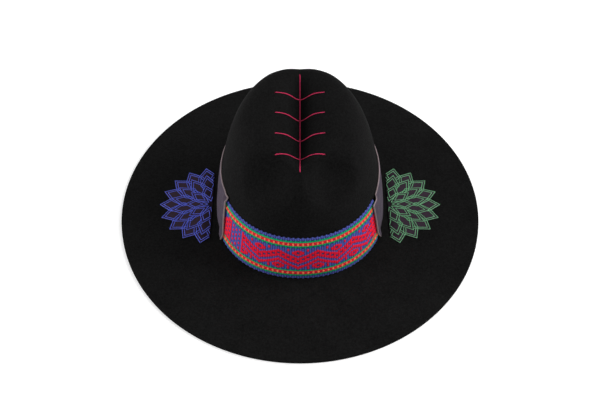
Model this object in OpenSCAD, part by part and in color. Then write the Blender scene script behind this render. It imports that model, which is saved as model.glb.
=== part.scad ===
// Wide-brimmed felt sombrero with a creased, pinched crown, a woven front band,
// a suede rear band, embroidered half rosettes on the brim and a leather sweatband.
// Millimetres. The origin is on the table under the middle of the hat, +Z is up,
// and the front of the hat faces -Y.

/* [Head opening] */
// Width of the head opening between the sweatband's sides
head_width = 168; // [140:1:205]
// Length of the head opening from the sweatband's front to its back
head_length = 195; // [162:1:235]
// Fullness of the oval's four corners beyond an ellipse, as a share of its radius
oval_full = 0.03; // [0:0.01:0.06]

/* [Felt] */
// Thickness of the felt
felt_t = 2.8; // [2:0.1:4]
// Width of the brim at each side
brim_w = 104; // [85:1:130]
// Extra width of the brim at the front and at the back
brim_extra = 2; // [0:0.5:15]
// Radius of the break, where the brim turns up into the crown
break_r = 1; // [0.5:0.5:5]
// Round on the cut edge of the brim
edge_r = 0.9; // [0.2:0.1:1]

/* [Crown] */
// Height of the open crown above the brim, before it is creased
crown_h = 125; // [104:0.5:150]
// How far each side leans in from the foot to the top
side_lean = 5.7; // [0:0.1:12]
// How far the top sits behind the middle of the foot
top_setback = 6; // [0:0.5:12]
// How far the top climbs from its middle to the back wall
top_rise = 22; // [0:1:35]
// Straightness of the wall, as a power: higher holds the wall upright for longer
wall_power = 1.85; // [1.5:0.05:3]
// Squareness of the shoulder, as a power: higher makes a flatter top
shoulder_power = 5.8; // [3:0.1:8]

/* [Crease and pinches] */
// Distance between the ridges on either side of the crease
ridge_spread = 62; // [40:1:80]
// How far the top falls from the ridges to the crease
dip_depth = 17; // [0:1:22]
// Depth of the crease itself
crease_depth = 9; // [2:1:14]
// Half width of the crease
crease_half_w = 10; // [8:0.5:16]
// Distance from the front foot of the crown to the front end of the crease
crease_front_gap = 57; // [40:1:80]
// Distance from the back foot of the crown to the back end of the crease
crease_back_gap = 36; // [25:1:60]
// Length over which the crease fades at each end
crease_fade = 9; // [5:1:20]
// Depth of the two front pinches
pinch_depth = 13; // [0:0.5:16]
// Distance between the two pinches
pinch_spread = 64; // [40:1:90]
// Distance of the pinches behind the front foot of the crown
pinch_setback = 39; // [25:1:50]
// Distance of the pinches below the top of the open crown
pinch_drop = 25; // [15:1:45]
// Reach of each pinch
pinch_r = 34; // [20:1:45]

/* [Bands] */
// Height of the woven band
band_h = 53; // [25:1:65]
// Thickness of the woven band
band_t = 1.9; // [1:0.1:3]
// Angle from the front to each end of the woven band
band_end = 69; // [40:1:110]
// Thickness of the suede
suede_t = 1.4; // [0.8:0.1:2.5]
// How far the suede stands above the woven band
suede_over = 1.5; // [0:0.5:4]
// Angle of woven band that each suede end laps over
suede_lap = 7; // [4:1:12]

/* [Sweatband] */
// Height of the sweatband
sweat_h = 46; // [30:1:55]
// Thickness of the sweatband leather
sweat_t = 1.2; // [0.8:0.1:2]
// Opening of the sweatband's seam at the back
sweat_seam = 0.8; // [0.4:0.1:2]
// Diameter of the reed along the sweatband's lower edge
reed_d = 1.8; // [1.2:0.1:2.2]

/* [Bow] */
// Width of the ribbon in the bow
ribbon_w = 6; // [4:0.5:10]
// Thickness of the ribbon
ribbon_t = 0.6; // [0.4:0.1:1]
// Length of each bow loop
bow_loop = 13; // [8:1:18]
// Length of each ribbon tail
bow_tail = 16; // [8:1:22]
// Angle at which the tails droop
tail_droop = 35; // [10:5:60]
// Width of the knot
knot_w = 5; // [3:0.5:8]
// Height of the bow above the brim
bow_h = 16; // [12:1:30]

/* [Half rosettes] */
// Radius from a rosette's middle to the tips of its outer petals
outer_tip_r = 57; // [50:1:70]
// Radius to the tips of the middle petals
middle_tip_r = 46; // [38:1:49]
// Radius to the tips of the inner petals
inner_tip_r = 30; // [20:1:36]
// Width of an outer petal
outer_petal_w = 19; // [14:1:24]
// Width of a middle petal
middle_petal_w = 18; // [12:1:22]
// Width of an inner petal
inner_petal_w = 15; // [10:1:18]
// Gap between the suede band and the straight side of a half rosette
rosette_gap = 2.5; // [1:0.5:10]
// Thickness of the appliqué under the embroidery
patch_t = 0.8; // [0.5:0.1:1.5]
// Width of an embroidered line
line_w = 1; // [0.6:0.1:1.6]
// Height of an embroidered line
line_h = 0.6; // [0.3:0.1:1]
// Number of petals in the outer row
outer_petals = 9; // [7:1:12]
// Number of petals in the inner row
inner_petals = 5; // [3:1:7]

/* [Crown stitching] */
// Distance from the front foot of the crown to the front end of the stitching
stitch_front_gap = 46; // [40:1:60]
// Distance from the back foot of the crown to the back end of the stitching
stitch_back_gap = 32; // [25:1:50]
// Diameter of the thread on the crown
stitch_d = 1.1; // [0.8:0.1:1.6]
// Number of chevrons along the crease
chevron_count = 4; // [3:1:8]
// Reach of a chevron to each side of the crease
chevron_reach = 25; // [12:1:30]
// How far forward each chevron's arms run
chevron_slant = 9; // [0:1:14]

/* [Clearances] */
// Gap between a sewn-on piece and the curved felt that carries it
seat_gap = 0.3; // [0.2:0.05:0.5]
// Gap between the crown's thread and the creased felt under it
thread_gap = 0.6; // [0.4:0.05:0.8]

/* [Hidden] */

// Colours as the hat shows them
felt_colour = [0.09, 0.09, 0.09];
weave_colour = [0.8, 0.07, 0.15];
suede_colour = [0.35, 0.3, 0.36];
patch_colour = [0.13, 0.09, 0.13];
blue_thread = [0.26, 0.32, 0.78];
green_thread = [0.3, 0.58, 0.38];
red_thread = [0.72, 0.13, 0.27];
leather_colour = [0.16, 0.11, 0.09];
reed_colour = [0.1, 0.08, 0.07];
ribbon_colour = [0.06, 0.06, 0.07];

// Felt foot of the crown, worked outwards from the head opening
foot_a = head_width / 2 + sweat_t + seat_gap + felt_t;
foot_b = head_length / 2 + sweat_t + seat_gap + felt_t;

// Grid of the felt: points around, rows up the wall and rows across the top
around = 72;
wall_rows = 8;
top_rows = 18;
break_rows = 3;
edge_rows = 2;

// Share of the crown's height that counts as wall
wall_share = 0.74;
// Step for measuring slopes on the crown
slope_step = 0.004;

// Crown form: w runs from 0 at the foot, through wall_part at the shoulder, to 1 at the tip
wall_part = wall_rows / (wall_rows + top_rows);

function wall_radius(h) = pow(1 - pow(h / crown_h, wall_power), 1 / shoulder_power);
function top_height(r) = crown_h * pow(1 - pow(r, shoulder_power), 1 / wall_power);
function wall_w(h) = wall_part * h / (wall_share * crown_h);

// Radius share and height of the open crown at w
function crown_station(w) =
  w <= wall_part
    ? let (h = wall_share * crown_h * w / wall_part) [wall_radius(h), h]
    : let (r = wall_radius(wall_share * crown_h) * (1 - w) / (1 - wall_part)) [r, top_height(r)];

// How much wider than an ellipse the oval is, th degrees round from the front
function fullness(th, share) = 1 + oval_full * sin(2 * th) * sin(2 * th) * share;

// A point of the open crown, th degrees round from the front
function open_crown(w, th) =
  let (
    st = crown_station(w),
    share = st[1] / crown_h,
    r = st[0] * fullness(th, 1 - share),
    x = (foot_a - side_lean * share) * r * sin(th),
    y = -foot_b * r * cos(th) + top_setback * share
  )
  [x, y, st[1] + top_rise * share * share * y / foot_b];

function fade(t) = 1 / (1 + exp(-t));
function clamp01(t) = min(1, max(0, t));

// Softness of the ridges, as a share of their distance from the crease
ridge_soft = 0.06;

// How far the top is pressed down at a point of the open crown: two straight sides that fall
// from the ridges, with a round crease along their foot
function crease_at(p) =
  let (
    inside = 1 - 2 * abs(p[0]) / ridge_spread,
    dip = dip_depth * ridge_soft * ln(1 + exp(inside / ridge_soft)),
    crease = crease_depth * exp(-pow(p[0] / crease_half_w, 2)),
    front = fade((p[1] + foot_b - crease_front_gap) / crease_fade),
    back = fade((foot_b - crease_back_gap - p[1]) / crease_fade),
    only_top = clamp01(4 * p[2] / crown_h - 2)
  )
  (dip + crease) * front * back * only_top;

// The way a pinch presses in: towards the middle, back and down
pinch_push = [-0.45, 0.7, -0.55];

function pinch_at(p, side) =
  let (
    middle = [side * pinch_spread / 2, pinch_setback - foot_b, crown_h - pinch_drop],
    away = norm(p - middle) / pinch_r,
    push = pinch_depth * pow(clamp01(1 - away * away), 2)
  )
  [side * pinch_push[0] * push, pinch_push[1] * push, pinch_push[2] * push];

// A point of the felt's outer face, creased and pinched, standing on the brim
function crown_at(w, th) =
  let (p = open_crown(w, th))
  p + pinch_at(p, -1) + pinch_at(p, 1) + [0, 0, felt_t - crease_at(p)];

// Outward direction of the felt's outer face
function crown_normal(w, th) =
  let (
    along = crown_at(w, th + 1) - crown_at(w, th - 1),
    up = crown_at(min(1, w + slope_step), th) - crown_at(max(0, w - slope_step), th),
    n = cross(along, up)
  )
  n / norm(n);

function off_crown(w, th, off) = crown_at(w, th) + off * crown_normal(w, th);

// A point at height h above the brim, off millimetres outside the felt's outer face
function off_wall(h, th, off) = off_crown(wall_w(h), th, off);

// Oval of the crown's foot, moved out by off. The brim's extra length is shared along it,
// and it runs out into an ellipse at the brim's edge.
function oval(th, off, z) =
  let (
    share = max(0, off) / brim_w,
    full = fullness(th, 1 - share)
  )
  [
    (foot_a + off) * full * sin(th),
    -(foot_b + off + brim_extra * share) * full * cos(th),
    z
  ];

function ring_angles() = [for (i = [0:around - 1]) 360 * i / around];
function oval_ring(off, z) = [for (th = ring_angles()) oval(th, off, z)];

// Rows that step from the foot's wall to the shoulder and over the top, without the tip
wall_foot_w = wall_w(break_r);
function felt_rows() =
  concat(
    [for (i = [0:wall_rows]) wall_foot_w + (wall_part - wall_foot_w) * i / wall_rows],
    [for (i = [1:top_rows - 1]) wall_part + (1 - wall_part) * i / top_rows]
  );

// Rings of a face off millimetres from the felt's outer face, from the break upwards
function crown_rings(off) =
  [for (w = felt_rows()) [for (th = ring_angles()) off_crown(w, th, off)]];

// Rings of the break between wall and brim, from the wall to the brim, at radius r about its centre
function break_rings(r) =
  [
    for (i = [1:break_rows])
      let (turn = 90 * i / break_rows)
        oval_ring(break_r - r * cos(turn), felt_t + break_r - r * sin(turn))
  ];

// Rings round the cut edge, from the brim's top to its underside
function edge_rings() =
  let (rim = brim_w - edge_r)
  concat(
    [
      for (i = [0:edge_rows])
        let (turn = 90 * i / edge_rows)
          oval_ring(rim + edge_r * sin(turn), felt_t - edge_r + edge_r * cos(turn))
    ],
    [
      for (i = [0:edge_rows])
        let (turn = 90 * i / edge_rows)
          oval_ring(rim + edge_r * cos(turn), edge_r - edge_r * sin(turn))
    ]
  );

function reversed(list) = [for (i = [len(list) - 1:-1:0]) list[i]];
function joined(lists) = [for (list = lists) each list];

// Two triangles between point k and its neighbour on sections s and s + 1, n points each
function wall_faces(s, next, k, n) =
  let (m = (k + 1) % n)
  [[s * n + k, next * n + k, next * n + m], [s * n + k, next * n + m, s * n + m]];

// A closed shell through rings, ending in a tip at each end
module ringed_shell(first_tip, rings, last_tip) {
  n = len(rings[0]);
  last = len(rings) - 1;
  tip_a = len(rings) * n;
  tip_b = tip_a + 1;
  sides = [for (s = [0:last - 1]) for (k = [0:n - 1]) each wall_faces(s, s + 1, k, n)];
  fan_a = [for (k = [0:n - 1]) [tip_a, k, (k + 1) % n]];
  fan_b = [for (k = [0:n - 1]) [tip_b, last * n + (k + 1) % n, last * n + k]];
  polyhedron(concat(joined(rings), [first_tip, last_tip]), concat(sides, fan_a, fan_b), 10);
}

// A solid swept through sections of n points each, with ends closed by ladders of triangles
module swept(sections, closed = false) {
  n = len(sections[0]);
  last = len(sections) - 1;
  sides = [for (s = [0:last - 1]) for (k = [0:n - 1]) each wall_faces(s, s + 1, k, n)];
  seam = closed ? [for (k = [0:n - 1]) each wall_faces(last, 0, k, n)] : [];
  rungs = [
    for (k = [0:n / 2 - 2])
      each [[k, k + 1, n - 2 - k], [k, n - 2 - k, n - 1 - k]]
  ];
  ends = closed ? [] : concat(rungs, [for (f = rungs) [for (v = reversed(f)) v + last * n]]);
  polyhedron(joined(sections), concat(sides, seam, ends), 10);
}

// A strip of thickness t against the crown, between heights low and high above the brim.
// Each station is [degrees from the front, distance of its inner face from the felt's outer face].
module crown_strip(stations, low, high, t, rows) {
  heights = [for (j = [0:rows]) low + (high - low) * j / rows];
  swept([
    for (st = stations)
      concat(
        [for (h = heights) off_wall(h, st[0], st[1])],
        [for (h = reversed(heights)) off_wall(h, st[0], st[1] + t)]
      )
  ]);
}

// Evenly spaced stations at one distance from the felt
function even_stations(from, to, steps, off) =
  [for (i = [0:steps]) [from + (to - from) * i / steps, off]];

// The hat body: crown, break and brim are one piece of felt
module felt_body() {
  outside = concat(reversed(crown_rings(0)), break_rings(break_r));
  inside = concat(reversed(break_rings(break_r + felt_t)), crown_rings(-felt_t));
  tip = crown_at(1, 0);
  color(felt_colour)
    ringed_shell(tip, concat(outside, edge_rings(), inside), tip - [0, 0, felt_t]);
}

band_low = break_r + seat_gap;
band_top = band_low + band_h;
band_steps = 30;
strip_rows = 5;

// Woven strip round the front of the crown
module woven_band() {
  color(weave_colour)
    crown_strip(
      even_stations(-band_end, band_end, band_steps, seat_gap),
      band_low, band_top, band_t, strip_rows
    );
}

// Suede strip round the sides and the back, whose ends ride up over the woven band
suede_front = band_end - suede_lap;
suede_ramp = 4;
suede_steps = 38;
suede_lifted = 2 * seat_gap + band_t;

function suede_stations() =
  let (clear = band_end + suede_ramp)
  concat(
    even_stations(suede_front, band_end + seat_gap, 3, suede_lifted),
    even_stations(clear, 360 - clear, suede_steps, seat_gap),
    even_stations(360 - band_end - seat_gap, 360 - suede_front, 3, suede_lifted)
  );

module suede_band() {
  color(suede_colour)
    crown_strip(suede_stations(), band_low, band_top + suede_over, suede_t, strip_rows);
}

// Leather sweatband inside the crown, open at its back seam
sweat_low = break_r + seat_gap;
sweat_inner = -(felt_t + seat_gap + sweat_t);
sweat_rows = 4;

module sweatband() {
  half_seam = asin(sweat_seam / 2 / (foot_a + sweat_inner));
  color(leather_colour)
    crown_strip(
      even_stations(half_seam - 180, 180 - half_seam, around, sweat_inner),
      sweat_low, sweat_low + sweat_h, sweat_t, sweat_rows
    );
}

// Reed that stiffens the sweatband's lower edge, lying in the break just under the leather
reed_sides = 6;

module sweatband_reed() {
  leather_low = min([for (th = ring_angles()) off_wall(sweat_low, th, sweat_inner)[2]]);
  middle_off = -(felt_t + seat_gap + reed_d / 2);
  middle_z = leather_low - seat_gap - reed_d / 2;
  color(reed_colour)
    swept(
      [
        for (th = ring_angles())
          [
            for (k = [0:reed_sides - 1])
              let (turn = 360 * (k + 0.5) / reed_sides)
                oval(th, middle_off + reed_d / 2 * cos(turn), middle_z + reed_d / 2 * sin(turn))
          ]
      ],
      closed = true
    );
}

// Ribbon bow that covers the sweatband's back seam: two loops, two tails and a knot.
// The loops stand clear of the curved leather at their ends, and the knot reaches back to it.
bow_r = ribbon_w / 2;

module bow_loop_outline(inset) {
  hull() {
    translate([knot_w / 2, 0])
      circle(r = ribbon_t - inset / 2, $fn = 32);
    translate([bow_loop - bow_r, 0])
      circle(r = bow_r - inset, $fn = 32);
  }
}

module bow_half() {
  linear_extrude(ribbon_w)
    difference() {
      bow_loop_outline(0);
      bow_loop_outline(ribbon_t);
    }
  translate([0, -ribbon_t / 2, ribbon_w / 4])
    rotate([0, tail_droop, 0])
      cube([bow_tail, ribbon_t, ribbon_w]);
}

module sweatband_bow() {
  tip_turn = asin(bow_loop / (foot_a + sweat_inner));
  knot_back = off_wall(bow_h, 180, sweat_inner - seat_gap);
  loop_back = off_wall(bow_h, 180 - tip_turn, sweat_inner - seat_gap);
  middle_y = loop_back[1] - bow_r;
  color(ribbon_colour)
    translate([0, middle_y, knot_back[2]]) {
      bow_half();
      mirror([1, 0, 0])
        bow_half();
      translate([-knot_w / 2, -ribbon_t * 2, -ribbon_t])
        cube([knot_w, knot_back[1] - middle_y + ribbon_t * 2, ribbon_w + 2 * ribbon_t]);
    }
}

// Half rosette on the brim: rows of pointed petals about a middle at the crown's foot.
// Each row is [number of petals, tip radius, root radius, width], from the back row to the front.
rosette_x = foot_a + seat_gap + suede_t + suede_lifted + rosette_gap;
middle_root_r = 12;
inner_root_r = 4;
rosette_rows = [
  [outer_petals, outer_tip_r, inner_tip_r, outer_petal_w],
  [outer_petals - 1, middle_tip_r, middle_root_r, middle_petal_w],
  [inner_petals, inner_tip_r, inner_root_r, inner_petal_w]
];
// Where along its length a petal is widest
petal_belly = 0.55;
// Spacing of the two lines in a petal, in line widths
inner_line = 2.6;

// A petal drawn smaller all round by inset
module petal(row, inset) {
  length = row[1] - row[2];
  middle = row[2] + length * petal_belly;
  half_w = row[3] / 2;
  outer_cut = inset * norm([row[1] - middle, half_w]) / half_w;
  inner_cut = inset * norm([middle - row[2], half_w]) / half_w;
  side_cut = inset * norm([length / 2, half_w]) / (length / 2);
  polygon([
    [row[2] + inner_cut, 0],
    [middle, half_w - side_cut],
    [row[1] - outer_cut, 0],
    [middle, side_cut - half_w]
  ]);
}

module petal_places(row) {
  step = 180 / row[0];
  for (i = [0:row[0] - 1])
    rotate(-90 + step * (i + 0.5))
      children();
}

module row_fill(row) {
  petal_places(row)
    petal(row, 0);
}

module outer_half() {
  intersection() {
    children();
    translate([0, -outer_tip_r])
      square([outer_tip_r, 2 * outer_tip_r]);
  }
}

// The appliqué reaches the petals' tips, and is whole inside the middle row
module rosette_fill(t) {
  reach = outer_tip_r + 1;
  intersection() {
    union() {
      cylinder(r = (middle_tip_r + inner_tip_r) / 2, h = t, $fn = 64);
      linear_extrude(t)
        row_fill(rosette_rows[0]);
      linear_extrude(t)
        row_fill(rosette_rows[1]);
    }
    translate([0, -reach, -t])
      cube([reach, 2 * reach, 3 * t]);
  }
}

// Outline of every petal in a row, with a second line inside it
module row_lines(row) {
  petal_places(row) {
    difference() {
      petal(row, 0);
      petal(row, line_w);
    }
    difference() {
      petal(row, inner_line * line_w);
      petal(row, (inner_line + 1) * line_w);
    }
  }
}

// Lines of a row where no row in front of it covers them
module rosette_lines() {
  outer_half()
    for (i = [0:len(rosette_rows) - 1])
      difference() {
        row_lines(rosette_rows[i]);
        for (j = [i + 1:1:len(rosette_rows) - 1])
          row_fill(rosette_rows[j]);
      }
}

// Places a right-hand shape on the brim, on the right for side 1 and on the left for side -1
module on_brim(side, z) {
  mirror([side < 0 ? 1 : 0, 0, 0])
    translate([rosette_x, 0, z])
      children();
}

module rosette_patch(side) {
  color(patch_colour)
    on_brim(side, felt_t)
      rosette_fill(patch_t);
}

module rosette_thread(side, colour) {
  color(colour)
    on_brim(side, felt_t + patch_t)
      linear_extrude(line_h)
        rosette_lines();
}

// The w under a place on the top, found in a few passes as the crown's width follows its height
function w_over(x, y, share = 1, passes = 5) =
  let (
    r = norm([x / (foot_a - side_lean * share), (y - top_setback * share) / foot_b]),
    w = 1 - r * (1 - wall_part) / wall_radius(wall_share * crown_h)
  )
  passes == 0 ? w : w_over(x, y, top_height(r) / crown_h, passes - 1);

// The point of the felt's outer face over a place on the top
function top_at(x, y) =
  let (
    w = w_over(x, y),
    share = crown_station(w)[1] / crown_h,
    th = atan2(x / (foot_a - side_lean * share), -(y - top_setback * share) / foot_b)
  )
  crown_at(w, th);

// Upward direction of the felt's outer face over a place on the top
function top_normal(x, y) =
  let (
    across = top_at(x + 0.5, y) - top_at(x - 0.5, y),
    along = top_at(x, y + 0.5) - top_at(x, y - 0.5),
    n = cross(across, along)
  )
  n / norm(n);

stitch_sides = 6;

// A thread along places [x, y] over the top, resting on the felt
module top_thread(places) {
  last = len(places) - 1;
  line = [for (p = places) top_at(p[0], p[1])];
  swept([
    for (i = [0:last])
      let (
        ahead = line[min(last, i + 1)] - line[max(0, i - 1)],
        side = cross(top_normal(places[i][0], places[i][1]), ahead),
        across = side / norm(side),
        above = cross(ahead, across),
        rise = above / norm(above),
        middle = line[i] + rise * (stitch_d / 2 + thread_gap)
      )
      [
        for (k = [0:stitch_sides - 1])
          let (turn = 360 * k / stitch_sides)
            middle + stitch_d / 2 * (cos(turn) * across + sin(turn) * rise)
      ]
  ]);
}

// Red stitching: a line along the crease, with chevrons that lie across it
stitch_front = stitch_front_gap - foot_b;
stitch_back = foot_b - stitch_back_gap;
stitch_steps = 40;
arm_start = 2.4 * stitch_d;
arm_steps = 9;

module crown_stitching() {
  pitch = (stitch_back - stitch_front) / (chevron_count + 1);
  color(red_thread) {
    top_thread([
      for (i = [0:stitch_steps]) [0, stitch_front + (stitch_back - stitch_front) * i / stitch_steps]
    ]);
    for (c = [1:chevron_count])
      for (side = [-1, 1])
        top_thread([
          for (i = [0:arm_steps])
            let (share = i / arm_steps)
              [
                side * (arm_start + (chevron_reach - arm_start) * share),
                stitch_front + pitch * c - chevron_slant * share
              ]
        ]);
  }
}

felt_body();
woven_band();
suede_band();
rosette_patch(-1);  // left_rosette_patch
rosette_patch(1);  // right_rosette_patch
rosette_thread(-1, blue_thread);  // left_rosette_thread
rosette_thread(1, green_thread);  // right_rosette_thread
crown_stitching();
sweatband();
sweatband_reed();
sweatband_bow();
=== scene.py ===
"""Wide-brimmed felt sombrero: its looks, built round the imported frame."""

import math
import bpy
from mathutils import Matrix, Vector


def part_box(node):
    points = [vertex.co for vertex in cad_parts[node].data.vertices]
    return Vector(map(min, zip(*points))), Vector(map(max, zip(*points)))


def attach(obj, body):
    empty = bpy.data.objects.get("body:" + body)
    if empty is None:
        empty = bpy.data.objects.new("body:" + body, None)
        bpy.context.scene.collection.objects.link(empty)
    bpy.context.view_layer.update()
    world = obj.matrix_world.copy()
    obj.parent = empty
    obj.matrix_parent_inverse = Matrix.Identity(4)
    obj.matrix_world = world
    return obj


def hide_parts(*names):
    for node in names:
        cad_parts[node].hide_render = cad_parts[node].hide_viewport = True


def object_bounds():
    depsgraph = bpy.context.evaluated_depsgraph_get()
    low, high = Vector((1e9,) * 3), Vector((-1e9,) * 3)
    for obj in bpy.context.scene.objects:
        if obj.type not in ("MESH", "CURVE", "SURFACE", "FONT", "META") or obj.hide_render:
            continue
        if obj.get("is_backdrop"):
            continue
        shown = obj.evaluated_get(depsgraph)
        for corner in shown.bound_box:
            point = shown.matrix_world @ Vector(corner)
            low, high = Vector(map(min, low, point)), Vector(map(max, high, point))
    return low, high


bl_info = {
    "name": "Felt Sombrero",
    "version": (1, 0, 0),
    "blender": (4, 5, 0),
    "location": "View3D > Sidebar > Sombrero",
    "description": "Builds a felt sombrero with its bands, embroidery and sweatband",
    "category": "Add Mesh",
}

from bisect import bisect_left
from itertools import groupby

import bmesh
import bpy
from bmesh.types import BMFace, BMVert
from bpy.props import FloatProperty, FloatVectorProperty, IntProperty, PointerProperty
from mathutils import Color, Matrix, Vector, noise

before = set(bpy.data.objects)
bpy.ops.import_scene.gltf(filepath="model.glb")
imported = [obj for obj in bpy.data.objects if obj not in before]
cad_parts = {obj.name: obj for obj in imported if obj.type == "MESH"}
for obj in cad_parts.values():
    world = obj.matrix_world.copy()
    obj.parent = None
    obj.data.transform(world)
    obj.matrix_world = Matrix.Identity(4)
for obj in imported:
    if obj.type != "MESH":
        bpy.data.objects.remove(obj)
CAD_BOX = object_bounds()

# Yarns of the woven band, in the order of its materials; the last is the blue yarn with painted shade
BLUE, GREEN, RED, ORANGE, SHADED_BLUE = range(5)

MM_PER_M = 1000
# Points closer than this are one point
MERGE = 1e-7
# Share of half a turn left out at each end of the curve that crowds rows towards an edge
EDGE_CROWDING = 0.12
# Distance from one stitch to the next, as a share of a stitch's length
STITCH_PITCH = 0.7
# Height of a stitched thread, as a share of its width
THREAD_HEIGHT = 0.84
# Points round a stitch, and rings along it
STITCH_POINTS = 6
STITCH_RINGS = 4
# Scale of the plies in a sewing thread, and the darkest tone of an embroidery thread
THREAD_PLIES = 2.5
THREAD_LOW = 0.75


def srgb(red, green, blue):
    """A colour as it is seen, from 0 to 255, in the linear values that a shader takes."""
    shares = [channel / 255 for channel in (red, green, blue)]
    return tuple(c / 12.92 if c <= 0.04045 else ((c + 0.055) / 1.055) ** 2.4 for c in shares)


def length(name, default, description):
    """A size in metres."""
    return FloatProperty(
        name=name, description=description, default=default, unit="LENGTH", precision=5
    )


def angle(name, degrees, description):
    """An angle, given in degrees."""
    return FloatProperty(
        name=name, description=description, default=math.radians(degrees), unit="ROTATION"
    )


def amount(name, default, description):
    """A plain number, such as a power or a share."""
    return FloatProperty(name=name, description=description, default=default)


def count(name, default, description):
    """How many of something there are."""
    return IntProperty(name=name, description=description, default=default, min=1)


def colour(name, default, description):
    """A colour, given in linear values."""
    return FloatVectorProperty(
        name=name, description=description, default=default, subtype="COLOR", size=3, min=0, max=1
    )


class FeltSettings(bpy.types.PropertyGroup):
    """Sizes of the felt hat body."""

    thickness: length("Thickness", 0.0028, "Thickness of the felt")
    brim_width: length("Brim Width", 0.104, "Width of the brim at each side")
    brim_extra: length("Brim Extra", 0.002, "Extra width of the brim at the front and the back")
    oval_full: amount("Oval Fullness", 0.03, "Fullness of the oval's corners beyond an ellipse")
    break_radius: length("Break Radius", 0.001, "Radius where the brim turns up into the crown")
    edge_radius: length("Edge Radius", 0.0008, "Round on the cut edge of the brim")
    crown_height: length("Crown Height", 0.125, "Height of the open crown above the brim")
    side_lean: length("Side Lean", 0.0057, "How far each side leans in from the foot to the top")
    top_setback: length("Top Setback", 0.006, "How far the top sits behind the middle of the foot")
    top_rise: length("Top Rise", 0.022, "How far the top climbs from its middle to the back")
    wall_power: amount("Wall Power", 1.85, "Straightness of the wall")
    shoulder_power: amount("Shoulder Power", 5.8, "Squareness of the shoulder")
    ridge_spread: length("Ridge Spread", 0.062, "Distance between the ridges beside the crease")
    dip_depth: length("Dip Depth", 0.017, "Fall of the top from the ridges to the crease")
    crease_depth: length("Crease Depth", 0.009, "Depth of the crease itself")
    crease_half_width: length("Crease Half Width", 0.010, "Half width of the crease")
    crease_front_gap: length("Crease Front Gap", 0.057, "Front foot of the crown to the crease")
    crease_back_gap: length("Crease Back Gap", 0.036, "Back foot of the crown to the crease")
    crease_fade: length("Crease Fade", 0.009, "Length over which the crease fades at each end")
    pinch_depth: length("Pinch Depth", 0.013, "Depth of the two front pinches")
    pinch_spread: length("Pinch Spread", 0.064, "Distance between the two pinches")
    pinch_setback: length("Pinch Setback", 0.039, "Distance of the pinches behind the front foot")
    pinch_drop: length("Pinch Drop", 0.025, "Distance of the pinches below the open crown's top")
    pinch_reach: length("Pinch Reach", 0.034, "Reach of each pinch")
    felt_colour: colour("Felt", srgb(19, 19, 19), "Colour of the felt")


class BandSettings(bpy.types.PropertyGroup):
    """Sizes and colours of the woven band and the suede band."""

    low: length("Low Edge", 0.0013, "Height of the bands' lower edge above the brim")
    height: length("Height", 0.053, "Height of the woven band")
    thickness: length("Thickness", 0.0012, "Thickness of the weave's ground")
    seat: length("Seat", 0.0003, "Gap between a band and the felt")
    stand: length("Stand", 0.0013, "How far the woven band's lower edge stands off the felt")
    end_turn: angle("End Turn", 63.5, "Angle from the front to each end of the woven band")
    rib: length("Rib", 0.00247, "Width of one rib of the weave")
    suede_turn: angle("Suede Turn", 59.65, "Angle from the front to each end of the suede")
    suede_shear: angle("Suede Shear", 2.4, "How far the suede's upper edge turns to the right")
    suede_tilt: length("Suede Tilt", 0.0036, "Rise of the suede's left end and dip of its right one")
    suede_lift: length("Suede Lift", 0.0032, "Height of the suede's ends over the felt")
    suede_thickness: length("Suede Thickness", 0.0014, "Thickness of the suede")
    suede_over: length("Suede Over", 0.002, "How far the suede stands above the woven band")
    suede_flare: length("Suede Flare", 0.0015, "How far the suede's lower front corners turn out")
    blue: colour("Blue Yarn", srgb(84, 95, 184), "Ground yarn of the weave")
    green: colour("Green Yarn", srgb(0, 176, 112), "Yarn of the beaded lines")
    red: colour("Red Yarn", srgb(246, 22, 56), "Yarn of the zigzag")
    orange: colour("Orange Yarn", srgb(255, 132, 86), "Yarn of the dots")
    suede: colour("Suede", srgb(64, 55, 67), "Colour of the suede")
    raw_edge: colour("Raw Edge", srgb(152, 136, 138), "Colour of the suede's cut edges")


class RosetteSettings(bpy.types.PropertyGroup):
    """Sizes and colours of the half rosettes on the brim."""

    outer_tip: length("Outer Tip", 0.057, "Radius to the tips of the outer petals")
    middle_tip: length("Middle Tip", 0.046, "Radius to the tips of the middle petals")
    inner_tip: length("Inner Tip", 0.030, "Radius to the tips of the inner petals")
    middle_root: length("Middle Root", 0.012, "Radius to the roots of the middle petals")
    inner_root: length("Inner Root", 0.004, "Radius to the roots of the inner petals")
    outer_width: length("Outer Width", 0.019, "Width of an outer petal")
    middle_width: length("Middle Width", 0.018, "Width of a middle petal")
    inner_width: length("Inner Width", 0.015, "Width of an inner petal")
    petal_count: count("Petals", 9, "Petals in the outer row")
    inner_count: count("Inner Petals", 5, "Petals in the inner row")
    layer: length("Layer", 0.0003, "Step in height from one row of petals to the next")
    thread: length("Thread", 0.0007, "Width of an embroidered line")
    stitch: length("Stitch", 0.0031, "Length of an embroidery stitch")
    plum: colour("Plum", srgb(44, 31, 43), "Colour of the petals")
    left_thread: colour("Left Thread", srgb(108, 124, 255), "Thread of the left rosette")
    right_thread: colour("Right Thread", srgb(126, 194, 144), "Thread of the right rosette")


class StitchSettings(bpy.types.PropertyGroup):
    """Sizes and colour of the stitching on the crown."""

    front_gap: length("Front Gap", 0.046, "Front foot of the crown to the stitching")
    back_gap: length("Back Gap", 0.032, "Back foot of the crown to the stitching")
    thread: length("Thread", 0.0008, "Thickness of the thread")
    stitch: length("Stitch", 0.0036, "Length of a stitch")
    chevrons: count("Chevrons", 4, "Number of chevrons along the crease")
    reach: length("Reach", 0.025, "Reach of a chevron to each side")
    slant: length("Slant", 0.009, "How far forward a chevron's arms run")
    crimson: colour("Crimson", srgb(246, 60, 110), "Colour of the thread")


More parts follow.
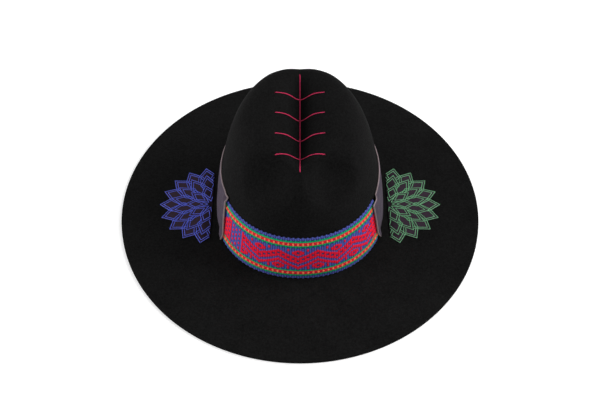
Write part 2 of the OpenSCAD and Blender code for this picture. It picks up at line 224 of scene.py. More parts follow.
class SweatbandSettings(bpy.types.PropertyGroup):
    """Sizes and colours of the sweatband, its reed and its bow."""

    low: length("Low Edge", 0.0013, "Height of the leather's lower edge above the brim")
    height: length("Height", 0.046, "Height of the leather")
    thickness: length("Thickness", 0.0012, "Thickness of the leather")
    inner: length("Inner Face", -0.0043, "Inner face of the leather from the felt's outer face")
    seam: length("Seam", 0.0008, "Opening of the back seam")
    reed: length("Reed", 0.0018, "Diameter of the reed")
    ribbon_width: length("Ribbon Width", 0.006, "Width of the ribbon in the bow")
    ribbon_thickness: length("Ribbon Thickness", 0.0006, "Thickness of the ribbon")
    loop: length("Loop", 0.013, "Length of each bow loop")
    tail: length("Tail", 0.016, "Length of each ribbon tail")
    tail_droop: angle("Tail Droop", 35, "Angle at which the tails droop")
    knot: length("Knot", 0.005, "Width of the knot")
    bow_height: length("Bow Height", 0.016, "Height of the bow above the brim")
    leather: colour("Leather", srgb(62, 44, 34), "Colour of the leather")
    tape: colour("Reed Tape", srgb(40, 32, 28), "Colour of the tape round the reed")
    ribbon: colour("Ribbon", srgb(26, 26, 28), "Colour of the bow")


class StageSettings(bpy.types.PropertyGroup):
    """The floor, the lamps and the camera."""

    lens: FloatProperty(name="Lens", description="Focal length in mm", default=65.64)
    elevation: angle("Elevation", 46, "Height of the camera above the floor, as an angle")
    distance: length("Distance", 1.187, "Distance of the camera from the hat's middle")
    shift: amount("Shift", 0.0083, "Upward shift of the camera's frame")
    left_power: amount("Left Power", 25.0, "Power of the left lamp in watts")
    right_power: amount("Right Power", 28.0, "Power of the right lamp in watts")
    front_power: amount("Front Power", 6.0, "Power of the front lamp in watts")
    fill: amount("Fill", 0.25, "Strength of the light from all round")
    floor: colour("Floor", srgb(244, 244, 244), "Colour of the floor")


class SombreroSettings(bpy.types.PropertyGroup):
    """All the settings of the sombrero."""

    felt: PointerProperty(type=FeltSettings)
    bands: PointerProperty(type=BandSettings)
    rosettes: PointerProperty(type=RosetteSettings)
    stitching: PointerProperty(type=StitchSettings)
    sweatband: PointerProperty(type=SweatbandSettings)
    stage: PointerProperty(type=StageSettings)


class CrownForm:
    """The felt's outer face: an oval open crown on a flat brim, then the crease and pinches."""

    # The way in which the right pinch presses the felt, and which the left one mirrors
    PINCH_PUSH = (-0.45, 0.7, -0.55)
    # Roundness of the two ridges, as a share of half the distance between them
    RIDGE_SOFT = 0.06
    # Shares of the crown's height from which the crease presses at all and in full
    CREASE_FROM = 0.5
    CREASE_FULL = 0.75
    # Steps of turn and height over which the way out of the wall is found
    TURN_STEP = 0.012
    HEIGHT_STEP = 0.001
    # Passes that find the point of the top over a place in plan
    PLAN_PASSES = 6
    # Stretches in which an arc along the wall is measured
    ARC_STEPS = 240

    def __init__(self, felt):
        for key in felt.__annotations__:
            setattr(self, key, getattr(felt, key))
        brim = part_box("felt_body")[1]
        self.foot_a = brim[0] - self.brim_width
        self.foot_b = brim[1] - self.brim_width - self.brim_extra

    def wall_radius(self, height):
        """Share of the foot's radius at a height on the wall."""
        rest = 1 - (height / self.crown_height) ** self.wall_power
        return rest ** (1 / self.shoulder_power)

    def top_height(self, radius):
        """Height of the open crown at a share of the foot's radius."""
        rest = max(0, 1 - radius**self.shoulder_power)
        return self.crown_height * rest ** (1 / self.wall_power)

    def fullness(self, turn, share):
        """How much wider than an ellipse the oval is."""
        return 1 + self.oval_full * share * math.sin(2 * turn) ** 2

    def open_crown(self, radius, height, turn):
        """A point of the open crown, turned from the front."""
        share = height / self.crown_height
        radius *= self.fullness(turn, 1 - share)
        x = (self.foot_a - self.side_lean * share) * radius * math.sin(turn)
        y = -self.foot_b * radius * math.cos(turn) + self.top_setback * share
        return Vector((x, y, height + self.top_rise * share * share * y / self.foot_b))

    def crease(self, p):
        """How far the crease presses a point of the open crown down."""
        top = (p.z / self.crown_height - self.CREASE_FROM) / (self.CREASE_FULL - self.CREASE_FROM)
        if top <= 0:
            return 0
        groove = self.crease_depth * math.exp(-((p.x / self.crease_half_width) ** 2))
        inside = (1 - abs(p.x) / (self.ridge_spread / 2)) / self.RIDGE_SOFT
        dip = self.dip_depth * self.RIDGE_SOFT * math.log(1 + math.exp(inside))
        start = (p.y + self.foot_b - self.crease_front_gap) / self.crease_fade
        stop = (self.foot_b - self.crease_back_gap - p.y) / self.crease_fade
        ends = (1 + math.exp(-start)) * (1 + math.exp(-stop))
        return (groove + dip) * min(1, top) / ends

    def shaped(self, p):
        """A point of the open crown after creasing and pinching, standing on the brim."""
        moved = p + Vector((0, 0, self.thickness - self.crease(p)))
        for side in (-1, 1):
            middle = Vector((
                side * self.pinch_spread / 2,
                self.pinch_setback - self.foot_b,
                self.crown_height - self.pinch_drop,
            ))
            away = (p - middle).length / self.pinch_reach
            push = self.pinch_depth * max(0, 1 - away * away) ** 2
            x, y, z = self.PINCH_PUSH
            moved += push * Vector((side * x, y, z))
        return moved

    def at(self, radius, height, turn):
        """A point of the crown's outer face."""
        return self.shaped(self.open_crown(radius, height, turn))

    def wall(self, height, turn):
        """A point of the wall at a height above the brim."""
        return self.at(self.wall_radius(max(0, height)), height, turn)

    def off_wall(self, height, turn, off):
        """A point a distance outside the wall."""
        along = self.wall(height, turn + self.TURN_STEP) - self.wall(height, turn - self.TURN_STEP)
        up = self.wall(height + self.HEIGHT_STEP, turn) - self.wall(height - self.HEIGHT_STEP, turn)
        return self.wall(height, turn) + off * along.cross(up).normalized()

    def over(self, x, y):
        """The point of the top over a place in plan."""
        share = 1
        for _ in range(self.PLAN_PASSES):
            u = x / (self.foot_a - self.side_lean * share)
            v = (y - self.top_setback * share) / self.foot_b
            radius = math.hypot(u, v)
            share = self.top_height(radius) / self.crown_height
        return self.at(radius, share * self.crown_height, math.atan2(u, -v))

    def brim(self, off, turn, z):
        """A point on the brim, a distance outside the crown's foot."""
        share = max(0, off) / self.brim_width
        full = self.fullness(turn, 1 - share)
        x = (self.foot_a + off) * full * math.sin(turn)
        y = -(self.foot_b + off + self.brim_extra * share) * full * math.cos(turn)
        return Vector((x, y, z))

    def arc(self, height, end):
        """Turns from the front to an end along the wall at a height, and the length up to each."""
        turns = [end * i / self.ARC_STEPS for i in range(self.ARC_STEPS + 1)]
        return turns, running_lengths([self.wall(height, turn) for turn in turns])


def running_lengths(points):
    """The distance along a line of points up to each of them."""
    lengths = [0.0]
    for a, b in zip(points, points[1:]):
        lengths.append(lengths[-1] + (b - a).length)
    return lengths


def stretch_at(lengths, along):
    """The number of the point that ends the stretch at a distance, and the share of it gone."""
    k = min(len(lengths) - 1, max(1, bisect_left(lengths, along)))
    return k, (along - lengths[k - 1]) / (lengths[k] - lengths[k - 1])


def fade(distance, reach):
    """Falls evenly from 1 at no distance to 0 at a reach."""
    return max(0, 1 - distance / reach)


def smooth_step(value):
    """A smooth rise from 0 to 1."""
    value = min(1, max(0, value))
    return value * value * (3 - 2 * value)


def crowded(share):
    """Draws evenly spaced shares from 0 to 1 together towards both ends."""
    start = math.pi * EDGE_CROWDING
    return 0.5 - 0.5 * math.cos(start + (math.pi - 2 * start) * share) / math.cos(start)


def ripple(*place):
    """Smooth unevenness between about -1 and 1 at a place."""
    return noise.noise(Vector(place))


def polar(point):
    """Distance of a point from the Z axis, and its turn from the front."""
    return math.hypot(point.x, point.y), math.atan2(point.x, -point.y)


def toned(tint, share):
    """A colour made darker or lighter."""
    return tuple(min(1, channel * share) for channel in tint)


class NodeMaker:
    """Adds nodes to a shader tree and links what feeds them."""

    def __init__(self, tree):
        self.tree = tree

    def feed(self, socket, value):
        """Links an output to a socket, or sets the socket to a number or an opaque colour."""
        if isinstance(value, bpy.types.NodeSocket):
            self.tree.links.new(value, socket)
        elif isinstance(value, (tuple, Color)):
            socket.default_value = (*value, 1)
        else:
            socket.default_value = value

    def add(self, kind, feeds=None, **settings):
        """A new node with its settings, whose sockets are fed by name or number."""
        node = self.tree.nodes.new(kind)
        for name, value in settings.items():
            setattr(node, name, value)
        for socket, value in (feeds or {}).items():
            self.feed(node.inputs[socket], value)
        return node

    def math(self, operation, a, b):
        """The result of a sum on two values."""
        return self.add("ShaderNodeMath", {0: a, 1: b}, operation=operation).outputs[0]

    def spread(self, value, to_low, to_high, low=0.0, high=1.0):
        """A value carried from one range to another, and held inside it."""
        feeds = {0: value, 1: low, 2: high, 3: to_low, 4: to_high}
        return self.add("ShaderNodeMapRange", feeds).outputs[0]

    def mix(self, share, a, b):
        """A mix of two colours or values, through the node's colour sockets."""
        return self.add("ShaderNodeMix", {0: share, 6: a, 7: b}, data_type="RGBA").outputs[2]

    def tones(self, share, tint, low, high):
        """A tint that runs from one tone of it to another."""
        return self.mix(share, toned(tint, low), toned(tint, high))

    def noise(self, vector, scale, detail, roughness):
        """Smooth noise from 0 to 1."""
        feeds = {"Vector": vector, "Scale": scale, "Detail": detail, "Roughness": roughness}
        return self.add("ShaderNodeTexNoise", feeds).outputs["Fac"]

    def group(self, tree, **feeds):
        """The outputs of a node group whose inputs are fed by name."""
        node = self.add("ShaderNodeGroup", node_tree=tree)
        for name, value in feeds.items():
            self.feed(node.inputs[name.replace("_", " ").title()], value)
        return node.outputs

    def coordinates(self, kind="Object"):
        """Where a shaded point is on its piece, or in its UV map."""
        return self.add("ShaderNodeTexCoord").outputs[kind]

    def attribute(self, name):
        """A value that the mesh holds at each of its points."""
        return self.add("ShaderNodeAttribute", attribute_name=name).outputs["Fac"]


def shared_group(name, inputs, outputs, wire):
    """A shader node group with named sockets, wired on its first use and shared after that."""
    tree = bpy.data.node_groups.get(name)
    if tree:
        return tree
    tree = bpy.data.node_groups.new(name, "ShaderNodeTree")
    for direction, sockets in (("INPUT", inputs), ("OUTPUT", outputs)):
        for socket, kind in sockets.items():
            tree.interface.new_socket(socket, in_out=direction, socket_type="NodeSocket" + kind)
    maker = NodeMaker(tree)
    results = wire(maker, maker.add("NodeGroupInput").outputs)
    maker.add("NodeGroupOutput", results)
    return tree


def fibre_nap():
    """Group: the short tangled fibres of felt and suede, with patches brushed either way."""

    def wire(maker, start):
        place = maker.coordinates()
        fleck_fineness = 3.1
        fleck_share = 0.35
        fleck_scale = maker.math("MULTIPLY", start["Fibre Scale"], fleck_fineness)
        fibres = maker.noise(place, start["Fibre Scale"], detail=4.0, roughness=0.7)
        patches = maker.noise(place, start["Patch Scale"], detail=3.0, roughness=0.55)
        flecks = maker.noise(place, fleck_scale, detail=2.0, roughness=0.6)
        fine = maker.mix(fleck_share, fibres, flecks)
        tone = maker.mix(start["Patch Share"], fine, patches)
        return {"Tone": maker.spread(tone, 0.0, 1.0, low=0.3, high=0.7), "Height": fine}

    return shared_group(
        "Fibre Nap",
        {"Fibre Scale": "Float", "Patch Scale": "Float", "Patch Share": "Float"},
        {"Tone": "Float", "Height": "Float"},
        wire,
    )


def yarn_twist():
    """Group: the plies of a twisted yarn, with loose fibres along it."""

    def wire(maker, start):
        feeds = {"Vector": start["Vector"], "Scale": start["Ply Scale"], "Distortion": 0.8}
        plies = maker.add("ShaderNodeTexWave", feeds, bands_direction="DIAGONAL").outputs["Fac"]
        fuzz = maker.noise(maker.coordinates(), start["Fuzz Scale"], detail=3.0, roughness=0.65)
        fuzz_share = 0.55
        tone = maker.mix(fuzz_share, plies, fuzz)
        return {"Tone": maker.spread(tone, 0.0, 1.0, low=0.25, high=0.75), "Height": plies}

    return shared_group(
        "Yarn Twist",
        {"Vector": "Vector", "Ply Scale": "Float", "Fuzz Scale": "Float"},
        {"Tone": "Float", "Height": "Float"},
        wire,
    )


def cut_edge():
    """Group: a mask of the cut edges, broken up by noise, from the piece's raw_edge attribute."""

    def wire(maker, start):
        grain = maker.noise(maker.coordinates(), start["Grain Scale"], detail=3.0, roughness=0.6)
        uneven = maker.math("ADD", grain, 0.5)
        rough = maker.math("MULTIPLY", maker.attribute("raw_edge"), uneven)
        mask = maker.math("MULTIPLY", rough, start["Reach"])
        return {"Mask": maker.spread(mask, 0.0, 1.0)}

    return shared_group(
        "Cut Edge", {"Grain Scale": "Float", "Reach": "Float"}, {"Mask": "Float"}, wire
    )


def new_material(name, specular, sheen=0.0, sheen_roughness=0.5):
    """A material with its maker and its shader, whose constants are set on the shader."""
    material = bpy.data.materials.new(name)
    material.use_nodes = True
    shader = material.node_tree.nodes["Principled BSDF"]
    shader.inputs["Specular IOR Level"].default_value = specular
    shader.inputs["Sheen Weight"].default_value = sheen
    shader.inputs["Sheen Roughness"].default_value = sheen_roughness
    return material, NodeMaker(material.node_tree), shader


def finish_material(maker, shader, tint, roughness, height, bump, distance):
    """Feeds colour, roughness and bump to a shader."""
    relief = {"Height": height, "Strength": bump, "Distance": distance}
    maker.feed(shader.inputs["Base Color"], tint)
    maker.feed(shader.inputs["Roughness"], roughness)
    maker.feed(shader.inputs["Normal"], maker.add("ShaderNodeBump", relief).outputs["Normal"])


def felt_material(tint):
    """Black wool felt: short dense nap, a little lighter where it is brushed up."""
    material, maker, shader = new_material("wool_felt", specular=0.03)
    nap = maker.group(fibre_nap(), fibre_scale=520.0, patch_scale=26.0, patch_share=0.15)
    base = maker.tones(nap["Tone"], tint, low=0.1, high=1.9)
    rough = maker.spread(nap["Tone"], to_low=0.95, to_high=0.82)
    finish_material(maker, shader, base, rough, nap["Height"], bump=0.55, distance=0.0006)
    return material


def suede_material(name, tint, edge, patch_scale, reach):
    """Suede with brushed patches and paler cut edges."""
    material, maker, shader = new_material(name, specular=0.1, sheen=0.06)
    nap = maker.group(fibre_nap(), fibre_scale=1100.0, patch_scale=patch_scale, patch_share=0.6)
    mask = maker.group(cut_edge(), grain_scale=700.0, reach=reach)["Mask"]
    brushed = maker.tones(nap["Tone"], tint, low=0.62, high=1.38)
    base = maker.mix(mask, brushed, edge)
    rough = maker.spread(nap["Tone"], to_low=0.97, to_high=0.85)
    finish_material(maker, shader, base, rough, nap["Height"], bump=0.5, distance=0.0005)
    return material


def yarn_material(name, tint, ply_scale, low=0.62, sunk=False):
    """Twisted yarn, darker between its plies, with painted shade where it sinks into the weave."""
    material, maker, shader = new_material(name, specular=0.12, sheen=0.05, sheen_roughness=0.4)
    plies = maker.group(
        yarn_twist(), vector=maker.coordinates("UV"), ply_scale=ply_scale, fuzz_scale=1600.0
    )
    base = maker.tones(plies["Tone"], tint, low=low, high=1.12)
    if sunk:
        # Painted shade: the yarn runs towards a dark tone of its tint where the attribute marks
        # grooves and changes of yarn
        painted_shade_share = 0.9
        depth = maker.math("MULTIPLY", maker.attribute("sunk"), painted_shade_share)
        base = maker.mix(depth, base, toned(tint, 0.22))
    rough = maker.spread(plies["Tone"], to_low=0.85, to_high=0.62)
    finish_material(maker, shader, base, rough, plies["Height"], bump=0.4, distance=0.0002)
    return material


def leather_material(tint):
    """Smooth sweatband leather with a pebbled grain and paler cut edges."""
    material, maker, shader = new_material("sweatband_leather", specular=0.4)
    place = maker.coordinates()
    cells = {"Vector": place, "Scale": 950.0}
    pores = maker.add("ShaderNodeTexVoronoi", cells, feature="DISTANCE_TO_EDGE")
    grain = maker.spread(pores.outputs["Distance"], 0.0, 1.0, high=0.25)
    wear = maker.noise(place, scale=45.0, detail=4.0, roughness=0.6)
    mask = maker.group(cut_edge(), grain_scale=500.0, reach=0.8)["Mask"]
    pore_share = maker.spread(grain, to_low=0.5, to_high=0.0)
    base = maker.tones(wear, tint, low=0.7, high=1.35)
    base = maker.mix(pore_share, base, toned(tint, 0.45))
    base = maker.mix(mask, base, toned(tint, 1.9))
    rough = maker.spread(wear, to_low=0.42, to_high=0.62, low=0.3, high=0.7)
    finish_material(maker, shader, base, rough, grain, bump=0.35, distance=0.0002)
    return material


def add_object(name, data):
    """Puts a mesh, a light or a camera into the scene."""
    item = bpy.data.objects.new(name, data)
    bpy.context.scene.collection.objects.link(item)
    return item


def mesh_object(name, bm, materials):
    """Makes a finished bmesh an object with its materials."""
    mesh = bpy.data.meshes.new(name)
    bm.to_mesh(mesh)
    bm.free()
    for material in materials:
        mesh.materials.append(material)
    return add_object(name, mesh)


def add_piece(name, bm, materials, node=None):
    """Adds a smooth piece on the root body, which may stand for a node of the frame and hide it."""
    piece = mesh_object(name, bm, materials)
    piece.data.shade_smooth()
    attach(piece, "root")
    if node:
        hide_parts(node)
    return piece


def only(kind, items):
    """The items of one kind among what an operator made."""
    return [item for item in items if isinstance(item, kind)]


def turn_outwards(bm):
    """Makes every face of a closed mesh point outwards."""
    bmesh.ops.recalc_face_normals(bm, faces=bm.faces[:])


def raise_copy(bm, faces, height):
    """Extrudes faces upwards, keeps the old ones as the back, and returns what was made."""
    made = bmesh.ops.extrude_face_region(bm, geom=faces, use_keep_orig=True)["geom"]
    bmesh.ops.translate(bm, verts=only(BMVert, made), vec=(0, 0, height))
    return made


def slab(columns, rows):
    """A gridded slab over the unit square: its back at z 0 and its face at z 1."""
    bm = bmesh.new()
    bmesh.ops.create_grid(bm, x_segments=columns, y_segments=rows, size=0.5)
    bmesh.ops.translate(bm, verts=bm.verts[:], vec=(0.5, 0.5, 0))
    raise_copy(bm, bm.faces[:], 1)
    return bm


def spin_round(bm, steps):
    """Spins all of a mesh once round the Z axis, and closes its seam and its pole."""
    bmesh.ops.spin(
        bm, geom=bm.verts[:] + bm.edges[:], cent=(0, 0, 0), axis=(0, 0, 1), dvec=(0, 0, 0),
        angle=math.tau, steps=steps, use_merge=True, use_duplicate=False,
    )
    bmesh.ops.remove_doubles(bm, verts=bm.verts[:], dist=MERGE)


def map_uv(bm, name, place):
    """Gives a mesh a UV map from a function of each point."""
    uv = bm.loops.layers.uv.new(name)
    for face in bm.faces:
        for loop in face.loops:
            loop[uv].uv = place(loop.vert.co)


def map_cloth(bm, width, height):
    """Gives a slab over the unit square a UV map in millimetres."""
    map_uv(bm, "Cloth", lambda p: (p.x * width * MM_PER_M, p.y * height * MM_PER_M))


def absorb(bm, part):
    """Adds a part to a mesh under way."""
    carrier = bpy.data.meshes.new("carrier")
    part.to_mesh(carrier)
    part.free()
    bm.from_mesh(carrier)
    bpy.data.meshes.remove(carrier)


def sew(bm, line, stitch, width, lean=0.16):
    """Lays overlapping stitches along a line of (place, up) pairs, turned a little across it."""
    run = bmesh.new()
    run.loops.layers.uv.new("Thread")
    lengths = running_lengths([place for place, _ in line])
    total = max(1, round(lengths[-1] / (stitch * STITCH_PITCH)))
    for i in range(total):
        k, share = stretch_at(lengths, lengths[-1] * (i + 0.5) / total)
        (a, up_a), (b, up_b) = line[k - 1], line[k]
        up = up_a.lerp(up_b, share).normalized()
        ahead = (b - a).normalized()
        ahead = (ahead + up.cross(ahead).normalized() * lean).normalized()
        across = up.cross(ahead).normalized()
        up = ahead.cross(across)
        height = width * THREAD_HEIGHT
        axes = Matrix((across * width / 2, up * height / 2, ahead * stitch / 2)).transposed()
        bmesh.ops.create_uvsphere(
            run, u_segments=STITCH_POINTS, v_segments=STITCH_RINGS, radius=1,
            matrix=Matrix.Translation(a.lerp(b, share)) @ axes.to_4x4(), calc_uvs=True,
        )
    absorb(bm, run)


class SombreroOperator(bpy.types.Operator):
    """What every operator of the sombrero shares."""

    bl_options = {"REGISTER", "UNDO"}

    @staticmethod
    def settings(context):
        """All the settings of the sombrero."""
        return context.scene.sombrero

    @staticmethod
    def form(context):
        """The felt's outer face, from the settings and the frame."""
        return CrownForm(context.scene.sombrero.felt)


class SOMBRERO_OT_felt(SombreroOperator):
    """Spins the felt's profile, shapes the crown and brim, and gives the felt its thickness"""

    bl_idname = "sombrero.felt"
    bl_label = "Felt Body"

    AROUND = 192
    TOP_ROWS = 46
    WALL_ROWS = 32
    BREAK_ROWS = 5
    BRIM_ROWS = 24
    # Share of the crown's height at which the rows of the top meet the rows of the wall
    SHOULDER = 0.74
    EDGE_SEGMENTS = 3
    # Edges sharper than this are rounded
    EDGE_ANGLE = math.radians(50)

    def profile(self, form):
        """Radius and height of each row, from the tip to the cut edge.

        Up to 1, a radius is a share of the foot's. Past 1, the rest is metres outside the foot.
        """
        shoulder = self.SHOULDER * form.crown_height
        rim = form.wall_radius(shoulder)
        bend = form.break_radius
        reach = form.brim_width - bend
        radii = [rim * i / self.TOP_ROWS for i in range(self.TOP_ROWS)]
        rows = [(radius, form.top_height(radius)) for radius in radii]
        for i in range(self.WALL_ROWS + 1):
            height = shoulder + (bend - shoulder) * i / self.WALL_ROWS
            rows.append((form.wall_radius(height), height))
        for i in range(1, self.BREAK_ROWS + 1):
            turn = math.pi / 2 * i / self.BREAK_ROWS
            rows.append((1 + bend * (1 - math.cos(turn)), bend * (1 - math.sin(turn))))
        rows += [(1 + bend + reach * i / self.BRIM_ROWS, 0) for i in range(1, self.BRIM_ROWS + 1)]
        return rows

    def execute(self, context):
        form = self.form(context)
        bm = bmesh.new()
        line = [bm.verts.new((0, -radius, height)) for radius, height in self.profile(form)]
        for a, b in zip(line, line[1:]):
            bm.edges.new((a, b))
        spin_round(bm, self.AROUND)
        for vert in bm.verts:
            radius, turn = polar(vert.co)
            if radius > 1:
                vert.co = form.brim(radius - 1, turn, form.thickness + vert.co.z)
            else:
                vert.co = form.at(radius, vert.co.z, turn)
        # The shell is still open, so its outer side is told by where most of it faces
        bm.normal_update()
        if sum(face.normal.z for face in bm.faces) < 0:
            bmesh.ops.reverse_faces(bm, faces=bm.faces[:])
        material = felt_material(self.settings(context).felt.felt_colour)
        hat = add_piece("felt_hat", bm, [material], "felt_body")
        wall = hat.modifiers.new("Felt", "SOLIDIFY")
        wall.thickness = form.thickness
        wall.offset = -1
        rim = hat.modifiers.new("Cut Edge", "BEVEL")
        rim.width = form.edge_radius
        rim.segments = self.EDGE_SEGMENTS
        rim.limit_method = "ANGLE"
        rim.angle_limit = self.EDGE_ANGLE
        return {"FINISHED"}


class WeavePattern:
    """Which yarn shows on the woven band, by ribs from its front and by picks from its top."""

    PICKS = 48
    # Picks from an edge to where the blue, the outer green, the dotted red and the inner green end
    TOP_BORDER = (1.8, 4.4, 8.0, 10.9)
    LOW_BORDER = (2.3, 4.7, 8.2, 10.4)
    # Half an orange dot's width in ribs, and half its height
    DOT = (0.42, 1.5)
    # Outer and inner rim of the green lines, where only every second rib is green and the others show
    # blue yarn with painted shade
    BEADS = (0.7, 1.1)
    # Half the height of a speck of blue yarn with painted shade
    SPECK = 0.9

    # Ribs from one low point of the zigzags to the next
    BAY = 16
    # Place of the thick zigzag's low points, and its rise from there
    ZIGZAG, RISE = 27.1, 9
    # Half the heights of the thick and the thin zigzag, and the drop from one to the other
    THICK, THIN, DROP = 4.2, 1.7, 8.4
    # Half the heights of a diamond's ribs from its middle out, and the places of both rows
    DIAMOND = (3.6, 3.1, 1.8)
    DIAMOND_ROWS = (16.8, 33.7)
    # Half the height of a square, and the places of both rows
    SQUARE = 1.5
    SQUARE_ROWS = (13.8, 35.4)

    # The zigzags' first rib and the top of its red
    FIRST_RIB, FIRST_TOP = -25, 11.7
    # The half diamond beside it: its ribs, its drop below the zigzag, its foot and that one's rise
    CORNER_RIBS, CORNER_DROP = 3, 12
    CORNER_FOOT, CORNER_RISE = 36.7, 0.9
    # Place of its speck
    CORNER_SPECK = 33.5

    # First and last rib of the left panel's squares, the panel's top, and the lean of its rows
    PANEL_RIBS = (-31, -27)
    PANEL_TOP = 12
    LEAN = 1.85
    # Place of a row of its squares, the pitch of the rows and half a square as a share of that
    PANEL_ROW, PANEL_PITCH, PANEL_SHARE = 18, 5.7, 0.26
    # The red blocks at both ends: their first ribs from the middle, and their tops
    LEFT_BLOCK, LEFT_TOP = -33, 7.4
    RIGHT_BLOCK, RIGHT_TOP = 36, 12.5
    # Place of a row of a block's specks, the pitch of the rows and half a speck as a share of that
    BLOCK_ROW, BLOCK_PITCH, BLOCK_SHARE = 6.5, 5.5, 0.15

    @staticmethod
    def off_row(place, pitch):
        """How far a place is from the nearest row, as a share of the rows' pitch."""
        rows = place / pitch
        return abs(rows - round(rows))

    def yarn(self, rib, across, v):
        """The yarn that shows on a rib, across from its middle and v picks below the band's top."""
        edge = min(v, self.PICKS - v)
        blue, outer, inner, end = self.TOP_BORDER if v < self.PICKS / 2 else self.LOW_BORDER
        if edge < blue:
            return BLUE
        if outer <= edge < inner:
            width, height = self.DOT
            down = (edge - (outer + inner) / 2) / height
            return ORANGE if rib % 2 == 0 and math.hypot(across / width, down) < 1 else RED
        if edge < end:
            whole = blue + self.BEADS[0] < edge < end - self.BEADS[1]
            return GREEN if rib % 2 or whole else SHADED_BLUE
        if rib < self.FIRST_RIB:
            return self.left_end(rib, v)
        if rib >= self.RIGHT_BLOCK:
            return self.block(rib, v - self.RIGHT_TOP)
        return self.zigzag(rib, v)

    def zigzag(self, rib, v):
        """The middle of the band: a thick and a thin zigzag with diamonds in the bays, and specks of
        blue yarn with painted shade.
        """
        if rib == self.FIRST_RIB:
            return RED if v > self.FIRST_TOP else BLUE
        half = self.BAY // 2
        middle = self.ZIGZAG - 2 * self.RISE * abs((rib / self.BAY + 0.5) % 1 - 0.5)
        if abs(v - middle) < self.THICK:
            return SHADED_BLUE if rib % 2 == 0 and abs(v - middle) < self.SPECK else RED
        if abs(v - middle - self.DROP) < self.THIN:
            return RED
        beside = rib - self.FIRST_RIB - 1
        foot = self.CORNER_FOOT - self.CORNER_RISE * beside
        if beside < self.CORNER_RIBS and middle + self.CORNER_DROP < v < foot:
            return SHADED_BLUE if beside == 0 and abs(v - self.CORNER_SPECK) < self.SPECK else RED
        upper, lower = self.DIAMOND_ROWS
        for along, down in (
            ((rib + half) % self.BAY - half, v - upper), (rib % self.BAY - half, v - lower)
        ):
            if abs(along) < len(self.DIAMOND) and abs(down) < self.DIAMOND[abs(along)]:
                return SHADED_BLUE if along == 0 and abs(down) < self.SPECK else RED
        off = min(abs(v - row) for row in self.SQUARE_ROWS)
        return RED if rib % half == half // 2 and off < self.SQUARE else BLUE

    def left_end(self, rib, v):
        """The left end: a blue panel of staggered red squares beside a red block."""
        if rib <= self.LEFT_BLOCK:
            return self.block(rib, v - self.LEFT_TOP + self.LEAN * (rib - self.LEFT_BLOCK))
        first, last = self.PANEL_RIBS
        place = v - self.PANEL_ROW + self.LEAN * (rib - last)
        inside = rib % 2 and first <= rib <= last and v > self.PANEL_TOP
        square = inside and self.off_row(place, self.PANEL_PITCH) < self.PANEL_SHARE
        return RED if square else BLUE

    def block(self, rib, down):
        """A red block with specks of blue yarn with painted shade, down from its upper edge."""
        if down < 0:
            return BLUE
        speck = self.off_row(down - self.BLOCK_ROW, self.BLOCK_PITCH) < self.BLOCK_SHARE
        return SHADED_BLUE if rib % 2 == 0 and speck else RED


